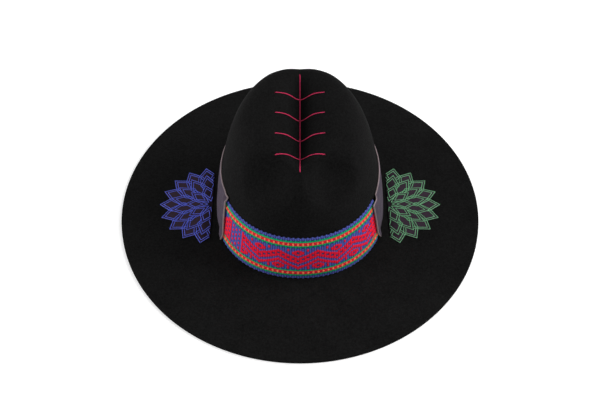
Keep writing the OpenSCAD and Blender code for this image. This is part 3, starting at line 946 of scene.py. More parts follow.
class SOMBRERO_OT_woven_band(SombreroOperator):
    """Weaves the front band cell by cell: ribs, beaded borders, zigzag and diamonds"""

    bl_idname = "sombrero.woven_band"
    bl_label = "Woven Band"

    ROWS = 80
    RIB_COLUMNS = 5
    # Distance of the middle rib to the right of the hat's front
    SHIFT = -0.0019
    # Height of each yarn over the ground
    LIFT = {BLUE: 0.0, GREEN: 0.00028, RED: 0.00038, ORANGE: 0.0009, SHADED_BLUE: -0.0001}
    # Reach of a groove as a share of a rib, its depth, and its extra depth in the ground
    GROOVE = 0.3125
    GROOVE_DEPTH, GROUND_DEPTH = 0.0002, 0.00025
    # Painted shade in a groove, its extra painted shade in the ground, and the painted shade at a
    # change of yarn
    GROOVE_DARK, GROUND_DARK, CHANGE_DARK = 0.3, 0.7, 0.4
    # Reach of the scalloped edges, their swell at the top and the foot, and the top's pull inwards
    SCALLOP = 0.0024
    TOP_SWELL, LOW_SWELL = 0.0014, 0.0012
    TOP_PULL = 0.0004
    # Reach of the rounding of the edges, and how strong it is at the top and the foot
    ROUND = 0.0016
    TOP_ROUND, LOW_ROUND = 0.85, 0.4
    PLY_SCALE = 0.35
    # Tone of the copy of the blue yarn that carries painted shade
    SHADED_BLUE_TONE = 0.5
    # Darkest tone of a yarn, and of the bright orange one
    YARN_LOW, ORANGE_LOW = 0.62, 1.0

    def weave(self, bm, start, ribs):
        """Sets each face's yarn, marks the painted shade at each point in the grooves and at changes
        of yarn, and says how far each is lifted.
        """
        pattern = WeavePattern()
        sunk = bm.verts.layers.float.new("sunk")
        for face in bm.faces:
            middle = face.calc_center_median()
            along = start - 0.5 + middle.x * ribs
            rib = round(along)
            face.material_index = pattern.yarn(rib, along - rib, (1 - middle.y) * pattern.PICKS)
        lifts = {}
        for vert in bm.verts:
            if vert.co.z < 0.5:
                continue
            yarns = [face.material_index for face in vert.link_faces if abs(face.normal.z) > 0.5]
            ground = (yarns.count(BLUE) + yarns.count(SHADED_BLUE)) / len(yarns)
            across = vert.co.x * ribs % 1
            groove = fade(min(across, 1 - across), self.GROOVE)
            shown = {RED if yarn == ORANGE else yarn for yarn in yarns}
            # Painted shade: darker in the grooves between ribs, more so in the ground, and at each
            # change of yarn
            dark = groove * (self.GROOVE_DARK + self.GROUND_DARK * ground)
            vert[sunk] = dark + self.CHANGE_DARK * (len(shown) > 1)
            lift = sum(self.LIFT[yarn] for yarn in yarns) / len(yarns)
            lifts[vert] = lift - groove * (self.GROOVE_DEPTH + self.GROUND_DEPTH * ground)
        return lifts

    def materials(self, bands):
        """The yarns' materials, in the order of their numbers."""
        tints = {
            "blue": bands.blue,
            "green": bands.green,
            "red": bands.red,
            "orange": bands.orange,
            # A copy of the blue yarn with painted shade, for specks, gaps between beads and the
            # diamonds' middles
            "deep": toned(bands.blue, self.SHADED_BLUE_TONE),
        }
        for name, tint in tints.items():
            low = self.ORANGE_LOW if name == "orange" else self.YARN_LOW
            yield yarn_material(f"{name}_yarn", tint, self.PLY_SCALE, low, sunk=True)

    def execute(self, context):
        form = self.form(context)
        bands = self.settings(context).bands
        turns, lengths = form.arc(bands.low + bands.height / 2, bands.end_turn)
        start = math.ceil((-lengths[-1] - self.SHIFT) / bands.rib + 0.5)
        ribs = math.floor((lengths[-1] - self.SHIFT) / bands.rib + 0.5) - start
        bm = slab(ribs * self.RIB_COLUMNS, self.ROWS)
        map_cloth(bm, ribs * bands.rib, bands.height)
        bm.normal_update()
        lifts = self.weave(bm, start, ribs)
        for vert in bm.verts:
            along = start - 0.5 + vert.co.x * ribs
            s = along * bands.rib + self.SHIFT
            k, share = stretch_at(lengths, abs(s))
            turn = math.copysign(turns[k - 1] + share * (turns[k] - turns[k - 1]), s)
            upper = vert.co.y > 0.5
            up = vert.co.y * bands.height
            edge = min(up, bands.height - up)
            swell = abs(math.cos(math.pi * along / 2)) * fade(edge, self.SCALLOP)
            up += self.TOP_SWELL * swell - self.TOP_PULL if upper else -self.LOW_SWELL * swell
            off = bands.seat + bands.stand * fade(vert.co.y, 0.5)
            if vert.co.z > 0.5:
                fall = fade(edge, self.ROUND) ** 2 * (self.TOP_ROUND if upper else self.LOW_ROUND)
                off += (bands.thickness + lifts[vert]) * math.sqrt(1 - fall)
            vert.co = form.off_wall(bands.low + up, turn, off)
        turn_outwards(bm)
        add_piece("woven_front", bm, self.materials(bands), "woven_band")
        return {"FINISHED"}


class SOMBRERO_OT_suede_band(SombreroOperator):
    """Wraps the suede strip round the sides and back, over the ends of the woven band"""

    bl_idname = "sombrero.suede_band"
    bl_label = "Suede Band"

    COLUMNS = 260
    ROWS = 22
    # Turn over which the tilt of the ends dies out
    TILT_REACH = 0.7
    # Turn past the woven band's end where the suede starts to come down, and over which it does
    DOWN_FROM, DOWN_OVER = 0.005, math.radians(4)
    # Height over the woven band where the suede starts to lean back, and over which it does
    LEAN_FROM, LEAN_OVER = 0.001, 0.0025
    # Share of its lift that the suede loses by that
    LEAN_SHARE = 0.8
    # Turn and height over which the lower corners flare
    FLARE_REACH, FLARE_HEIGHT = 0.16, 0.011
    # How far the lower corners run forward, the turn and height over which they do, and the curve
    CUT = math.radians(2.5)
    CUT_REACH, CUT_HEIGHT = 0.12, 0.012
    CUT_POWER = 1.5
    # Width of the pale cut edge
    RAW_WIDTH = 0.0013
    # Width of the rounding along the upper and lower edge, and how strong it is
    ROUND, ROUND_SHARE = 0.002, 0.6
    # Unevenness of the face, its deepest dip, its pace along and up the strip, and its noise's slice
    SWELL, SWELL_FLOOR = 0.00025, -0.0001
    SWELL_ALONG, SWELL_UP = 9, 2.2
    SWELL_SLICE = 3.0
    # Waviness of the lower and upper edge, its pace along them, and the power with which it dies out
    WAVE, WAVE_ALONG = 0.0005, 14
    WAVE_POWER = 4
    # Rows of the lower and upper edge in the noise, and its slice
    WAVE_ROWS, WAVE_SLICE = (7.0, 12.0), 0.5

    def execute(self, context):
        form = self.form(context)
        bands = self.settings(context).bands
        high = bands.height + bands.suede_over
        sweep = math.tau - 2 * bands.suede_turn
        bm = slab(self.COLUMNS, self.ROWS)
        map_cloth(bm, sweep * form.foot_b, high)
        raw = bm.verts.layers.float.new("raw_edge")
        for vert in bm.verts:
            x, y, z = vert.co
            y = crowded(y)
            turn = bands.suede_turn + sweep * x - bands.suede_shear * (y - 0.5)
            from_end = min(x, 1 - x) * sweep
            tilt = math.copysign(fade(from_end, self.TILT_REACH) ** 2, x - 0.5)
            up = y * (high + bands.suede_tilt * tilt)
            behind = min(turn, math.tau - turn) - bands.end_turn
            over = up - bands.height
            lift = 1 - smooth_step((behind - self.DOWN_FROM) / self.DOWN_OVER)
            lift *= 1 - self.LEAN_SHARE * smooth_step((over - self.LEAN_FROM) / self.LEAN_OVER)
            off = bands.seat + (bands.suede_lift - bands.seat) * lift
            corner = fade(from_end, self.FLARE_REACH) * fade(up, self.FLARE_HEIGHT)
            off += bands.suede_flare * corner**2
            cut = self.CUT * fade(up, self.CUT_HEIGHT) ** self.CUT_POWER
            turn += math.copysign(cut * fade(from_end, self.CUT_REACH), 0.5 - x)
            edge = min(y, 1 - y) * high
            vert[raw] = fade(min(edge, from_end * form.foot_a), self.RAW_WIDTH)
            if z > 0.5:
                worn = self.ROUND_SHARE * fade(edge, self.ROUND) ** 2
                swell = ripple(turn * self.SWELL_ALONG, y * self.SWELL_UP, self.SWELL_SLICE)
                swell = max(self.SWELL_FLOOR, self.SWELL * swell)
                off += bands.suede_thickness * math.sqrt(1 - worn) + swell
            wave = ripple(turn * self.WAVE_ALONG, self.WAVE_ROWS[round(y)], self.WAVE_SLICE)
            up += self.WAVE * wave * abs(2 * y - 1) ** self.WAVE_POWER
            vert.co = form.off_wall(bands.low + max(0, up), turn, off)
        turn_outwards(bm)
        material = suede_material(
            "grey_plum_suede", bands.suede, bands.raw_edge, patch_scale=110.0, reach=1.1
        )
        add_piece("suede_rear", bm, [material], "suede_band")
        return {"FINISHED"}


class HalfRosette:
    """A half rosette of pointed petals in three rows, laid out flat about its middle."""

    # Share of a petal's length, from its root, at which it is widest
    BELLY = 0.55
    # Distance of the inner embroidered line from a petal's edge, in widths of the thread
    INNER_LINE = 3.9
    # Step at which a line is tested for showing, and the fewest places of a run that is sewn
    LINE_STEP, SHORTEST = 0.0008, 3
    # Thickness of the outer petals
    PETAL = 0.0006

    def __init__(self, rosettes):
        outer = rosettes.petal_count
        inner = rosettes.inner_count
        self.layer = rosettes.layer
        self.rows = [
            (outer, rosettes.outer_tip, rosettes.inner_tip, rosettes.outer_width),
            (outer - 1, rosettes.middle_tip, rosettes.middle_root, rosettes.middle_width),
            (inner, rosettes.inner_tip, rosettes.inner_root, rosettes.inner_width),
        ]

    def height(self, number):
        """Height of a row's petals."""
        return self.PETAL + number * self.layer

    def petals(self, row, inset=0.0):
        """Corners of each petal in a row, drawn smaller all round by an inset."""
        number, tip, root, width = row
        middle = root + (tip - root) * self.BELLY
        half = width / 2
        tip_cut = inset * math.hypot(tip - middle, half) / half
        root_cut = inset * math.hypot(middle - root, half) / half
        side = half - inset * math.hypot((tip - root) / 2, half) / ((tip - root) / 2)
        kite = [(root + root_cut, 0), (middle, -side), (tip - tip_cut, 0), (middle, side)]
        for i in range(number):
            spin = Matrix.Rotation(math.pi * ((i + 0.5) / number - 0.5), 3, "Z")
            yield [spin @ Vector((x, y, 0)) for x, y in kite]

    @staticmethod
    def sides(kite):
        """Both ends of each side of a petal."""
        return zip(kite, kite[1:] + kite[:1])

    def covered(self, place, number):
        """Whether a row in front of a numbered one hides a place."""
        petals = (kite for row in self.rows[number + 1:] for kite in self.petals(row))
        return any(
            all((b - a).cross(place - a).z > 0 for a, b in self.sides(kite)) for kite in petals
        )

    def lines(self, thread):
        """The runs of thread that show, with their rows' numbers: two outlines for each petal."""
        for number, row in enumerate(self.rows):

            def shows(place):
                return place.x > thread / 2 and not self.covered(place, number)

            for inset in (thread / 2, self.INNER_LINE * thread):
                for kite in self.petals(row, inset):
                    for a, b in self.sides(kite):
                        steps = max(2, round((b - a).length / self.LINE_STEP))
                        places = [a.lerp(b, i / steps) for i in range(steps + 1)]
                        for shown, run in groupby(places, shows):
                            run = list(run)
                            if shown and len(run) >= self.SHORTEST:
                                yield number, run


def to_brim(bm, side, name):
    """Moves a flat half rosette to its side of the brim, where the frame has its patch."""
    if side < 0:
        bmesh.ops.scale(bm, verts=bm.verts[:], vec=(-1, 1, 1))
        bmesh.ops.reverse_faces(bm, faces=bm.faces[:])
    low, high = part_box(f"{name}_rosette_patch")
    middle = (low[0] if side > 0 else high[0], 0, low[2])
    bmesh.ops.translate(bm, verts=bm.verts[:], vec=middle)


class SOMBRERO_OT_petals(SombreroOperator):
    """Cuts the suede petals of both half rosettes and layers them on the brim"""

    bl_idname = "sombrero.petals"
    bl_label = "Rosette Petals"

    # Thickness and segments of the round plate under the petals
    PLATE, PLATE_SEGMENTS = 0.0005, 64
    # Width of a petal's pale rim, and the height of its face over the rim
    RIM, RIM_RISE = 0.0009, 0.00012
    EDGE_TONE = 1.5

    def petal(self, bm, outline, height, raw):
        """One petal: a kite whose rim is marked as cut and whose face rises a little."""
        base = bm.faces.new([bm.verts.new(corner) for corner in outline])
        top = only(BMFace, raise_copy(bm, [base], height))
        for face in top:
            for vert in face.verts:
                vert[raw] = 1
        bmesh.ops.inset_individual(bm, faces=top, thickness=self.RIM, depth=self.RIM_RISE)

    def half(self, rosettes):
        """All petals on their plate, cut off along the straight side."""
        shape = HalfRosette(rosettes)
        bm = bmesh.new()
        raw = bm.verts.layers.float.new("raw_edge")
        radius = (rosettes.middle_tip + rosettes.inner_tip) / 2
        bmesh.ops.create_circle(bm, cap_ends=True, segments=self.PLATE_SEGMENTS, radius=radius)
        raise_copy(bm, bm.faces[:], self.PLATE)
        for number, row in enumerate(shape.rows):
            for outline in shape.petals(row):
                self.petal(bm, outline, shape.height(number), raw)
        bmesh.ops.bisect_plane(
            bm, geom=bm.verts[:] + bm.edges[:] + bm.faces[:], plane_co=(0, 0, 0), plane_no=(1, 0, 0),
            dist=MERGE, clear_inner=True,
        )
        bmesh.ops.holes_fill(bm, edges=[edge for edge in bm.edges if edge.is_boundary], sides=0)
        turn_outwards(bm)
        return bm

    def execute(self, context):
        rosettes = self.settings(context).rosettes
        edge = toned(rosettes.plum, self.EDGE_TONE)
        material = suede_material("plum_suede", rosettes.plum, edge, patch_scale=160.0, reach=0.5)
        for side, name in ((-1, "left"), (1, "right")):
            bm = self.half(rosettes)
            to_brim(bm, side, name)
            add_piece(f"petals_{name}", bm, [material], f"{name}_rosette_patch")
        return {"FINISHED"}


class SOMBRERO_OT_embroidery(SombreroOperator):
    """Embroiders the petals of both half rosettes with two stitched lines each"""

    bl_idname = "sombrero.embroidery"
    bl_label = "Rosette Embroidery"

    # Height of the thread's middle over the petal, in widths of the thread
    SEAT = 0.28

    def execute(self, context):
        rosettes = self.settings(context).rosettes
        shape = HalfRosette(rosettes)
        up = Vector((0, 0, 1))
        for side, name, hue in ((-1, "left", "blue"), (1, "right", "green")):
            bm = bmesh.new()
            for number, run in shape.lines(rosettes.thread):
                height = shape.height(number) + rosettes.thread * self.SEAT
                line = [(place + up * height, up) for place in run]
                sew(bm, line, rosettes.stitch, rosettes.thread)
            to_brim(bm, side, name)
            tint = getattr(rosettes, f"{name}_thread")
            material = yarn_material(f"{hue}_thread", tint, THREAD_PLIES, THREAD_LOW)
            node = f"{name}_rosette_thread"
            add_piece(f"embroidery_{name}", bm, [material], node)
        return {"FINISHED"}


class SOMBRERO_OT_crown_stitching(SombreroOperator):
    """Sews the red line and its chevrons along the crease"""

    bl_idname = "sombrero.crown_stitching"
    bl_label = "Crown Stitching"

    # Steps of the line along the crease and of a chevron's arm
    LINE_STEPS = 120
    ARM_STEPS = 24
    # Step to each side over which the felt's slope is found
    PROBE = 0.0008
    # Height of the thread's middle over the felt, in widths of the thread
    SEAT = 0.3

    def on_top(self, form, start, end, steps, lift):
        """Places from one point in plan to another, lifted off the crown's top, with the way up."""
        for i in range(steps + 1):
            x, y = (a + (b - a) * i / steps for a, b in zip(start, end))
            across = form.over(x + self.PROBE, y) - form.over(x - self.PROBE, y)
            along = form.over(x, y + self.PROBE) - form.over(x, y - self.PROBE)
            up = across.cross(along).normalized()
            yield form.over(x, y) + up * lift, up

    def execute(self, context):
        form = self.form(context)
        stitching = self.settings(context).stitching
        front = stitching.front_gap - form.foot_b
        back = form.foot_b - stitching.back_gap
        pitch = (back - front) / (stitching.chevrons + 1)
        runs = [((0, front), (0, back), self.LINE_STEPS)]
        for number in range(1, stitching.chevrons + 1):
            y = front + pitch * number
            for side in (-1, 1):
                start = (side * stitching.thread, y)
                end = (side * stitching.reach, y - stitching.slant)
                runs.append((start, end, self.ARM_STEPS))
        bm = bmesh.new()
        for run in runs:
            line = list(self.on_top(form, *run, stitching.thread * self.SEAT))
            sew(bm, line, stitching.stitch, stitching.thread)
        material = yarn_material("crimson_thread", stitching.crimson, THREAD_PLIES, THREAD_LOW)
        add_piece("crown_embroidery", bm, [material], "crown_stitching")
        return {"FINISHED"}


class SOMBRERO_OT_sweatband(SombreroOperator):
    """Lines the crown with the leather sweatband, its stitching and its taped reed"""

    bl_idname = "sombrero.sweatband"
    bl_label = "Sweatband"

    COLUMNS = 200
    ROWS = 18
    # How far the leather's top hangs loose, and the share of its height where that starts
    SLACK, SLACK_FROM = 0.0005, 0.375
    # Pace of that looseness's unevenness along the strip, and its row in the noise
    SLACK_ALONG, SLACK_ROW = 6, 1.5
    # Width of the pale cut edge
    RAW_WIDTH = 0.0008
    # Heights of the rows of stitches over the leather's lower edge, and the stitches in a row
    STITCH_ROWS = (0.0028, 0.0052)
    STITCHES = 150
    # Shares of its room between which a stitch lies
    STITCH_PART = (0.1, 0.9)
    STITCH_LENGTH, STITCH_WIDTH, STITCH_LEAN = 0.0031, 0.0006, 0.05
    # Start of a row in half turns from the front, at which its last stitch bridges the back seam
    STITCH_START = -0.993
    STITCH_TONE = 1.8
    # Points round the reed, steps along it, and its mean radius round the head
    REED_POINTS, REED_STEPS = 10, 420
    REED_RADIUS = 0.095
    # Turns of tape round the reed
    TAPE_TURNS = 60
    # Share of the reed's thickness at the tape's edge, and the share of a turn in which it fills out
    TAPE_LOW, TAPE_RAMP = 0.92, 0.25
    TAPE_PLY_SCALE = 0.6

    def leather(self, form, sweat):
        """The leather strip, a little slack at its upper edge, open at the back seam."""
        gap = math.asin(sweat.seam / 2 / (form.foot_a + sweat.inner))
        bm = slab(self.COLUMNS, self.ROWS)
        map_cloth(bm, math.tau * form.foot_b, sweat.height)
        raw = bm.verts.layers.float.new("raw_edge")
        for vert in bm.verts:
            x, y, z = vert.co
            y = crowded(y)
            turn = gap - math.pi + (math.tau - 2 * gap) * x
            loose = smooth_step((y - self.SLACK_FROM) / (1 - self.SLACK_FROM))
            uneven = 1 + ripple(turn * self.SLACK_ALONG, self.SLACK_ROW, 0)
            slack = self.SLACK * loose * uneven
            vert[raw] = fade(min(y, 1 - y) * sweat.height, self.RAW_WIDTH)
            off = sweat.inner + sweat.thickness * z - slack
            vert.co = form.off_wall(sweat.low + y * sweat.height, turn, off)
        turn_outwards(bm)
        return bm

    def seam_stitches(self, form, sweat):
        """Two rows of stitches round the leather's lower edge."""
        bm = bmesh.new()
        for up in self.STITCH_ROWS:
            height = sweat.low + up
            for i in range(self.STITCHES):
                line = []
                for part in self.STITCH_PART:
                    turn = math.pi * (2 * (i + part) / self.STITCHES + self.STITCH_START)
                    place = form.off_wall(height, turn, sweat.inner)
                    outside = form.off_wall(height, turn, sweat.inner + sweat.thickness)
                    line.append((place, (place - outside).normalized()))
                sew(bm, line, self.STITCH_LENGTH, self.STITCH_WIDTH, self.STITCH_LEAN)
        return bm

    def reed(self, form, sweat):
        """The reed's ring, swelling and thinning with the turns of its tape."""
        radius = sweat.reed / 2
        middle = sweat.inner + sweat.thickness - radius
        low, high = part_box("sweatband_reed")
        bm = bmesh.new()
        ring = bmesh.ops.create_circle(bm, segments=self.REED_POINTS, radius=radius)["verts"]
        upright = Matrix.Rotation(math.pi / 2, 3, "Y")
        bmesh.ops.rotate(bm, verts=ring, cent=(0, 0, 0), matrix=upright)
        bmesh.ops.translate(bm, verts=ring, vec=(0, -1, 0))
        spin_round(bm, self.REED_STEPS)

        def place(point):
            """Turn about the head, distance across the reed and turn about the reed."""
            away, turn = polar(point)
            return turn, away - 1, math.atan2(point.z, away - 1)

        def tape_uv(point):
            turn, _, about = place(point)
            return turn * self.REED_RADIUS * MM_PER_M, about * radius * MM_PER_M

        map_uv(bm, "Tape", tape_uv)
        for vert in bm.verts:
            turn, across, about = place(vert.co)
            wrap = (turn * self.TAPE_TURNS + about) / math.tau % 1
            swell = self.TAPE_LOW + (1 - self.TAPE_LOW) * smooth_step(wrap / self.TAPE_RAMP)
            height = (low[2] + high[2]) / 2 + vert.co.z * swell
            vert.co = form.brim(middle + across * swell, turn, height)
        turn_outwards(bm)
        return bm

    def execute(self, context):
        form = self.form(context)
        sweat = self.settings(context).sweatband
        leather = leather_material(sweat.leather)
        pale = toned(sweat.leather, self.STITCH_TONE)
        thread = yarn_material("sweatband_thread", pale, THREAD_PLIES)
        tape = yarn_material("reed_tape", sweat.tape, self.TAPE_PLY_SCALE)
        strip = self.leather(form, sweat)
        add_piece("leather_sweatband", strip, [leather], "sweatband")
        add_piece("sweatband_stitches", self.seam_stitches(form, sweat), [thread])
        add_piece("taped_reed", self.reed(form, sweat), [tape], "sweatband_reed")
        return {"FINISHED"}


class SOMBRERO_OT_bow(SombreroOperator):
    """Ties the small ribbon bow over the sweatband's back seam"""

    bl_idname = "sombrero.bow"
    bl_label = "Ribbon Bow"

    # Gap between the bow and the leather
    SEAT = 0.0003
    PLY_SCALE = 0.9
    # Points round a loop, cuts across its ribbon, and its start as a share of the knot's width
    LOOP_POINTS, LOOP_CUTS = 28, 4
    LOOP_START = 0.3
    # A loop's depth as a share of the ribbon's width, and the share of that at the knot
    LOOP_DEPTH, LOOP_THIN = 0.9, 0.3
    # How soon a loop reaches its full depth, and the curve with which it does
    LOOP_FILL, LOOP_POWER = 1.25, 1.4
    # How much the knot pinches a loop's ribbon, and over which share of the loop
    PINCH, PINCH_REACH = 0.45, 0.55
    # Cells along and across a tail, and the share of its length over which it widens
    TAIL_GRID = (16, 6)
    TAIL_WIDENS = 0.4
    # Height at which the tails leave the knot and their width there, in widths of the ribbon
    TAIL_HEIGHT, TAIL_ROOT = 0.45, 0.55
    # Depth of the notch in a tail's end, and the share of its length where that starts
    NOTCH, NOTCH_FROM = 0.0028, 0.75
    # Height and pace of a tail's curl
    CURL, CURL_PACE = 0.0012, 5
    # Cuts along each edge of the knot
    KNOT_CUTS = 7
    # The knot's waist and the rounding of its face, as shares of its sizes, and the rounding's power
    WAIST, KNOT_ROUND, KNOT_POWER = 0.14, 0.22, 4
    # Depth of the knot's folds as a share of its own, and their pace across it
    FOLD, FOLD_PACE = 0.04, 19
    # The knot's height in widths of the ribbon, and the share of it lost at the sides
    KNOT_HEIGHT, KNOT_FALL = 1.1, 0.15
    # How far the knot stands in front of the loops, in thicknesses of the ribbon
    KNOT_FRONT = 3

    def loop(self, bm, sweat, side):
        """One loop: a circle pulled into a drop, given the ribbon's width and pinched at the knot."""
        half = sweat.ribbon_width / 2
        start = sweat.knot * self.LOOP_START
        ring = bmesh.ops.create_circle(bm, segments=self.LOOP_POINTS, radius=1)["verts"]
        for vert in ring:
            share = (vert.co.x + 1) / 2
            full = math.sin(min(1, share * self.LOOP_FILL) * math.pi / 2) ** self.LOOP_POWER
            depth = half * self.LOOP_DEPTH * (self.LOOP_THIN + (1 - self.LOOP_THIN) * full)
            vert.co = (side * (start + (sweat.loop - start) * share), vert.co.y * depth, 0)
        made = bmesh.ops.extrude_edge_only(bm, edges=bm.edges[:])["geom"]
        bmesh.ops.translate(bm, verts=only(BMVert, made), vec=(0, 0, sweat.ribbon_width))
        rungs = [edge for edge in bm.edges if edge.verts[0].co.z != edge.verts[1].co.z]
        bmesh.ops.subdivide_edges(bm, edges=rungs, cuts=self.LOOP_CUTS)
        for vert in bm.verts:
            pinch = 1 - self.PINCH * fade(abs(vert.co.x), sweat.loop * self.PINCH_REACH)
            vert.co.z = half + (vert.co.z - half) * pinch

    def tail(self, bm, sweat, side):
        """One tail: a strip that droops, curls a little and ends in a notch."""
        droop = sweat.tail_droop
        columns, rows = self.TAIL_GRID
        grid = bmesh.ops.create_grid(bm, x_segments=columns, y_segments=rows, size=0.5)["verts"]
        for vert in grid:
            along = vert.co.x + 0.5
            end = smooth_step((along - self.NOTCH_FROM) / (1 - self.NOTCH_FROM))
            reach = along * sweat.tail - self.NOTCH * fade(abs(vert.co.y), 0.5) * end
            widened = smooth_step(along / self.TAIL_WIDENS)
            spread = self.TAIL_ROOT + (1 - self.TAIL_ROOT) * widened
            across = vert.co.y * sweat.ribbon_width * spread
            height = sweat.ribbon_width * self.TAIL_HEIGHT
            vert.co = (
                side * (reach * math.cos(droop) + across * math.sin(droop)),
                -self.CURL * math.sin(along * self.CURL_PACE) * along,
                height - reach * math.sin(droop) + across * math.cos(droop),
            )

    def knot(self, bm, sweat, depth):
        """The knot: a rounded block drawn in at its waist, with folds down its face."""
        bmesh.ops.create_cube(bm, size=1)
        bmesh.ops.subdivide_edges(bm, edges=bm.edges[:], cuts=self.KNOT_CUTS, use_grid_fill=True)
        for vert in bm.verts:
            x, y, z = vert.co
            folds = self.FOLD * math.cos(x * self.FOLD_PACE)
            face = 1 - self.KNOT_ROUND * (2 * z) ** self.KNOT_POWER + folds
            tall = self.KNOT_HEIGHT * (1 - self.KNOT_FALL * (2 * x) ** 2)
            vert.co = (
                x * sweat.knot * (1 - self.WAIST + self.WAIST * abs(2 * z)),
                (y * face + 0.5) * depth - sweat.ribbon_thickness * self.KNOT_FRONT,
                sweat.ribbon_width * (0.5 + z * tall),
            )
        turn_outwards(bm)

    def execute(self, context):
        form = self.form(context)
        sweat = self.settings(context).sweatband
        tip = math.asin(sweat.loop / (form.foot_a + sweat.inner))
        knot_back = form.off_wall(sweat.bow_height, math.pi, sweat.inner - self.SEAT)
        loop_back = form.off_wall(sweat.bow_height, math.pi - tip, sweat.inner - self.SEAT)
        place = Vector((0, loop_back.y - sweat.ribbon_width / 2, knot_back.z))
        depth = knot_back.y - place.y + sweat.ribbon_thickness * self.KNOT_FRONT
        bow = bmesh.new()
        for side in (-1, 1):
            strips = bmesh.new()
            self.loop(strips, sweat, side)
            self.tail(strips, sweat, side)
            turn_outwards(strips)
            bmesh.ops.solidify(strips, geom=strips.faces[:], thickness=sweat.ribbon_thickness)
            turn_outwards(strips)
            absorb(bow, strips)
        knot = bmesh.new()
        self.knot(knot, sweat, depth)
        absorb(bow, knot)
        map_uv(bow, "Ribbon", lambda p: (p.x * MM_PER_M, p.z * MM_PER_M))
        bmesh.ops.translate(bow, verts=bow.verts[:], vec=place)
        ribbon = yarn_material("bow_ribbon", sweat.ribbon, self.PLY_SCALE)
        add_piece("ribbon_bow", bow, [ribbon], "sweatband_bow")
        return {"FINISHED"}


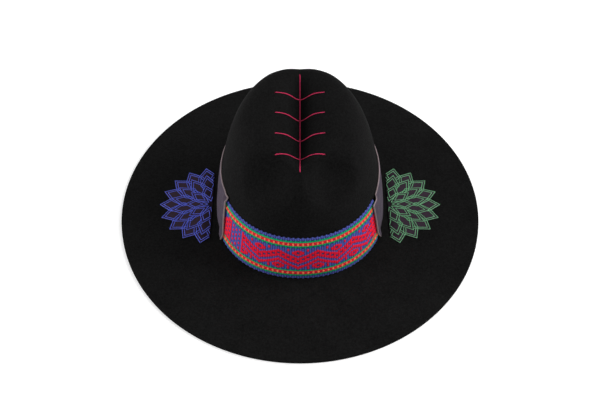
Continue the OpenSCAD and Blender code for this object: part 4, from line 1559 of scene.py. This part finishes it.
class SOMBRERO_OT_stage(SombreroOperator):
    """Sets up the pale floor, the soft lamps and the camera"""

    bl_idname = "sombrero.stage"
    bl_label = "Stage"

    FLOOR_RADIUS = 1.3
    FLOOR_SEGMENTS = 96
    # Glow of the floor, which only the camera sees
    FLOOR_GLOW = 0.34
    # Width of a lamp, the point that all lamps face, and their places
    LAMP_SIZE = 1.2
    LAMP_AIM = Vector((0, 0, 0.05))
    LAMPS = {"left": (-1.6, 0, 0.5), "right": (1.38, 0.15, 1.0), "front": (0.3, -1.75, 0.65)}
    # Width of the camera's sensor in mm, and how far it sees in metres
    SENSOR_WIDTH = 36
    FAR_CLIP = 50

    def floor(self, stage):
        """A pale disc under the hat."""
        bm = bmesh.new()
        bmesh.ops.create_circle(
            bm, cap_ends=True, segments=self.FLOOR_SEGMENTS, radius=self.FLOOR_RADIUS
        )
        material, maker, shader = new_material("pale_floor", specular=0.1)
        maker.feed(shader.inputs["Base Color"], stage.floor)
        maker.feed(shader.inputs["Roughness"], 0.95)
        maker.feed(shader.inputs["Emission Color"], (1, 1, 1))
        seen = maker.add("ShaderNodeLightPath").outputs["Is Camera Ray"]
        glow = maker.math("MULTIPLY", seen, self.FLOOR_GLOW)
        maker.feed(shader.inputs["Emission Strength"], glow)
        floor = mesh_object("floor", bm, [material])
        floor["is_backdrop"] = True

    def lamp(self, name, power, place):
        """A square softbox that looks at the foot of the crown."""
        light = bpy.data.lights.new(name, "AREA")
        light.energy = power
        light.size = self.LAMP_SIZE
        lamp = add_object(name, light)
        lamp.location = place
        lamp.rotation_euler = (self.LAMP_AIM - Vector(place)).to_track_quat("-Z", "Y").to_euler()

    def backdrop(self, stage):
        """A world that is white to the camera and in reflections, and lights the hat softly."""
        world = bpy.data.worlds.new("studio")
        world.use_nodes = True
        maker = NodeMaker(world.node_tree)
        path = maker.add("ShaderNodeLightPath").outputs
        seen = maker.math("MAXIMUM", path["Is Camera Ray"], path["Is Glossy Ray"])
        background = world.node_tree.nodes["Background"]
        maker.feed(background.inputs["Color"], (1, 1, 1))
        maker.feed(background.inputs["Strength"], maker.spread(seen, stage.fill, 1.0))
        return world

    def camera(self, stage):
        """The camera at the photograph's place, aimed at the top of the brim."""
        camera = bpy.data.cameras.new("photo_camera")
        camera.sensor_width = self.SENSOR_WIDTH
        camera.lens = stage.lens
        camera.shift_y = stage.shift
        camera.clip_end = self.FAR_CLIP
        viewer = add_object("photo_camera", camera)
        rise = stage.elevation
        middle = Vector((0, 0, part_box("left_rosette_patch")[0][2]))
        viewer.location = middle + stage.distance * Vector((0, -math.cos(rise), math.sin(rise)))
        viewer.rotation_euler = (math.pi / 2 - rise, 0, 0)
        return viewer

    def execute(self, context):
        stage = self.settings(context).stage
        scene = context.scene
        scene.view_settings.view_transform = "Standard"
        self.floor(stage)
        for name, place in self.LAMPS.items():
            self.lamp(f"{name}_softbox", getattr(stage, f"{name}_power"), place)
        scene.world = self.backdrop(stage)
        scene.camera = self.camera(stage)
        return {"FINISHED"}


OPERATORS = (
    SOMBRERO_OT_felt,
    SOMBRERO_OT_woven_band,
    SOMBRERO_OT_suede_band,
    SOMBRERO_OT_petals,
    SOMBRERO_OT_embroidery,
    SOMBRERO_OT_crown_stitching,
    SOMBRERO_OT_sweatband,
    SOMBRERO_OT_bow,
    SOMBRERO_OT_stage,
)


class SOMBRERO_PT_build(bpy.types.Panel):
    """Lists the sombrero's pieces and settings"""

    bl_idname = "SOMBRERO_PT_build"
    bl_label = "Sombrero"
    bl_space_type = "VIEW_3D"
    bl_region_type = "UI"
    bl_category = "Sombrero"

    def draw(self, context):
        settings = context.scene.sombrero
        for operator in OPERATORS:
            self.layout.operator(operator.bl_idname)
        for group in settings.__annotations__:
            box = self.layout.box()
            box.label(text=group.replace("_", " ").title())
            for key in getattr(settings, group).__annotations__:
                box.prop(getattr(settings, group), key)


CLASSES = (
    FeltSettings,
    BandSettings,
    RosetteSettings,
    StitchSettings,
    SweatbandSettings,
    StageSettings,
    SombreroSettings,
    *OPERATORS,
    SOMBRERO_PT_build,
)


def register():
    """Registers the settings, the operators and the panel."""
    for cls in CLASSES:
        bpy.utils.register_class(cls)
    bpy.types.Scene.sombrero = PointerProperty(type=SombreroSettings)


def unregister():
    """Removes what register added."""
    del bpy.types.Scene.sombrero
    for cls in reversed(CLASSES):
        bpy.utils.unregister_class(cls)


def main():
    """Builds the hat and its stage."""
    register()
    bpy.ops.sombrero.felt()
    bpy.ops.sombrero.woven_band()
    bpy.ops.sombrero.suede_band()
    bpy.ops.sombrero.petals()
    bpy.ops.sombrero.embroidery()
    bpy.ops.sombrero.crown_stitching()
    bpy.ops.sombrero.sweatband()
    bpy.ops.sombrero.bow()
    bpy.ops.sombrero.stage()
    boxes = {"cad": CAD_BOX, "visual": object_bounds()}
    plain = {name: [list(map(float, corner)) for corner in box] for name, box in boxes.items()}


if __name__ == "__main__":
    main()
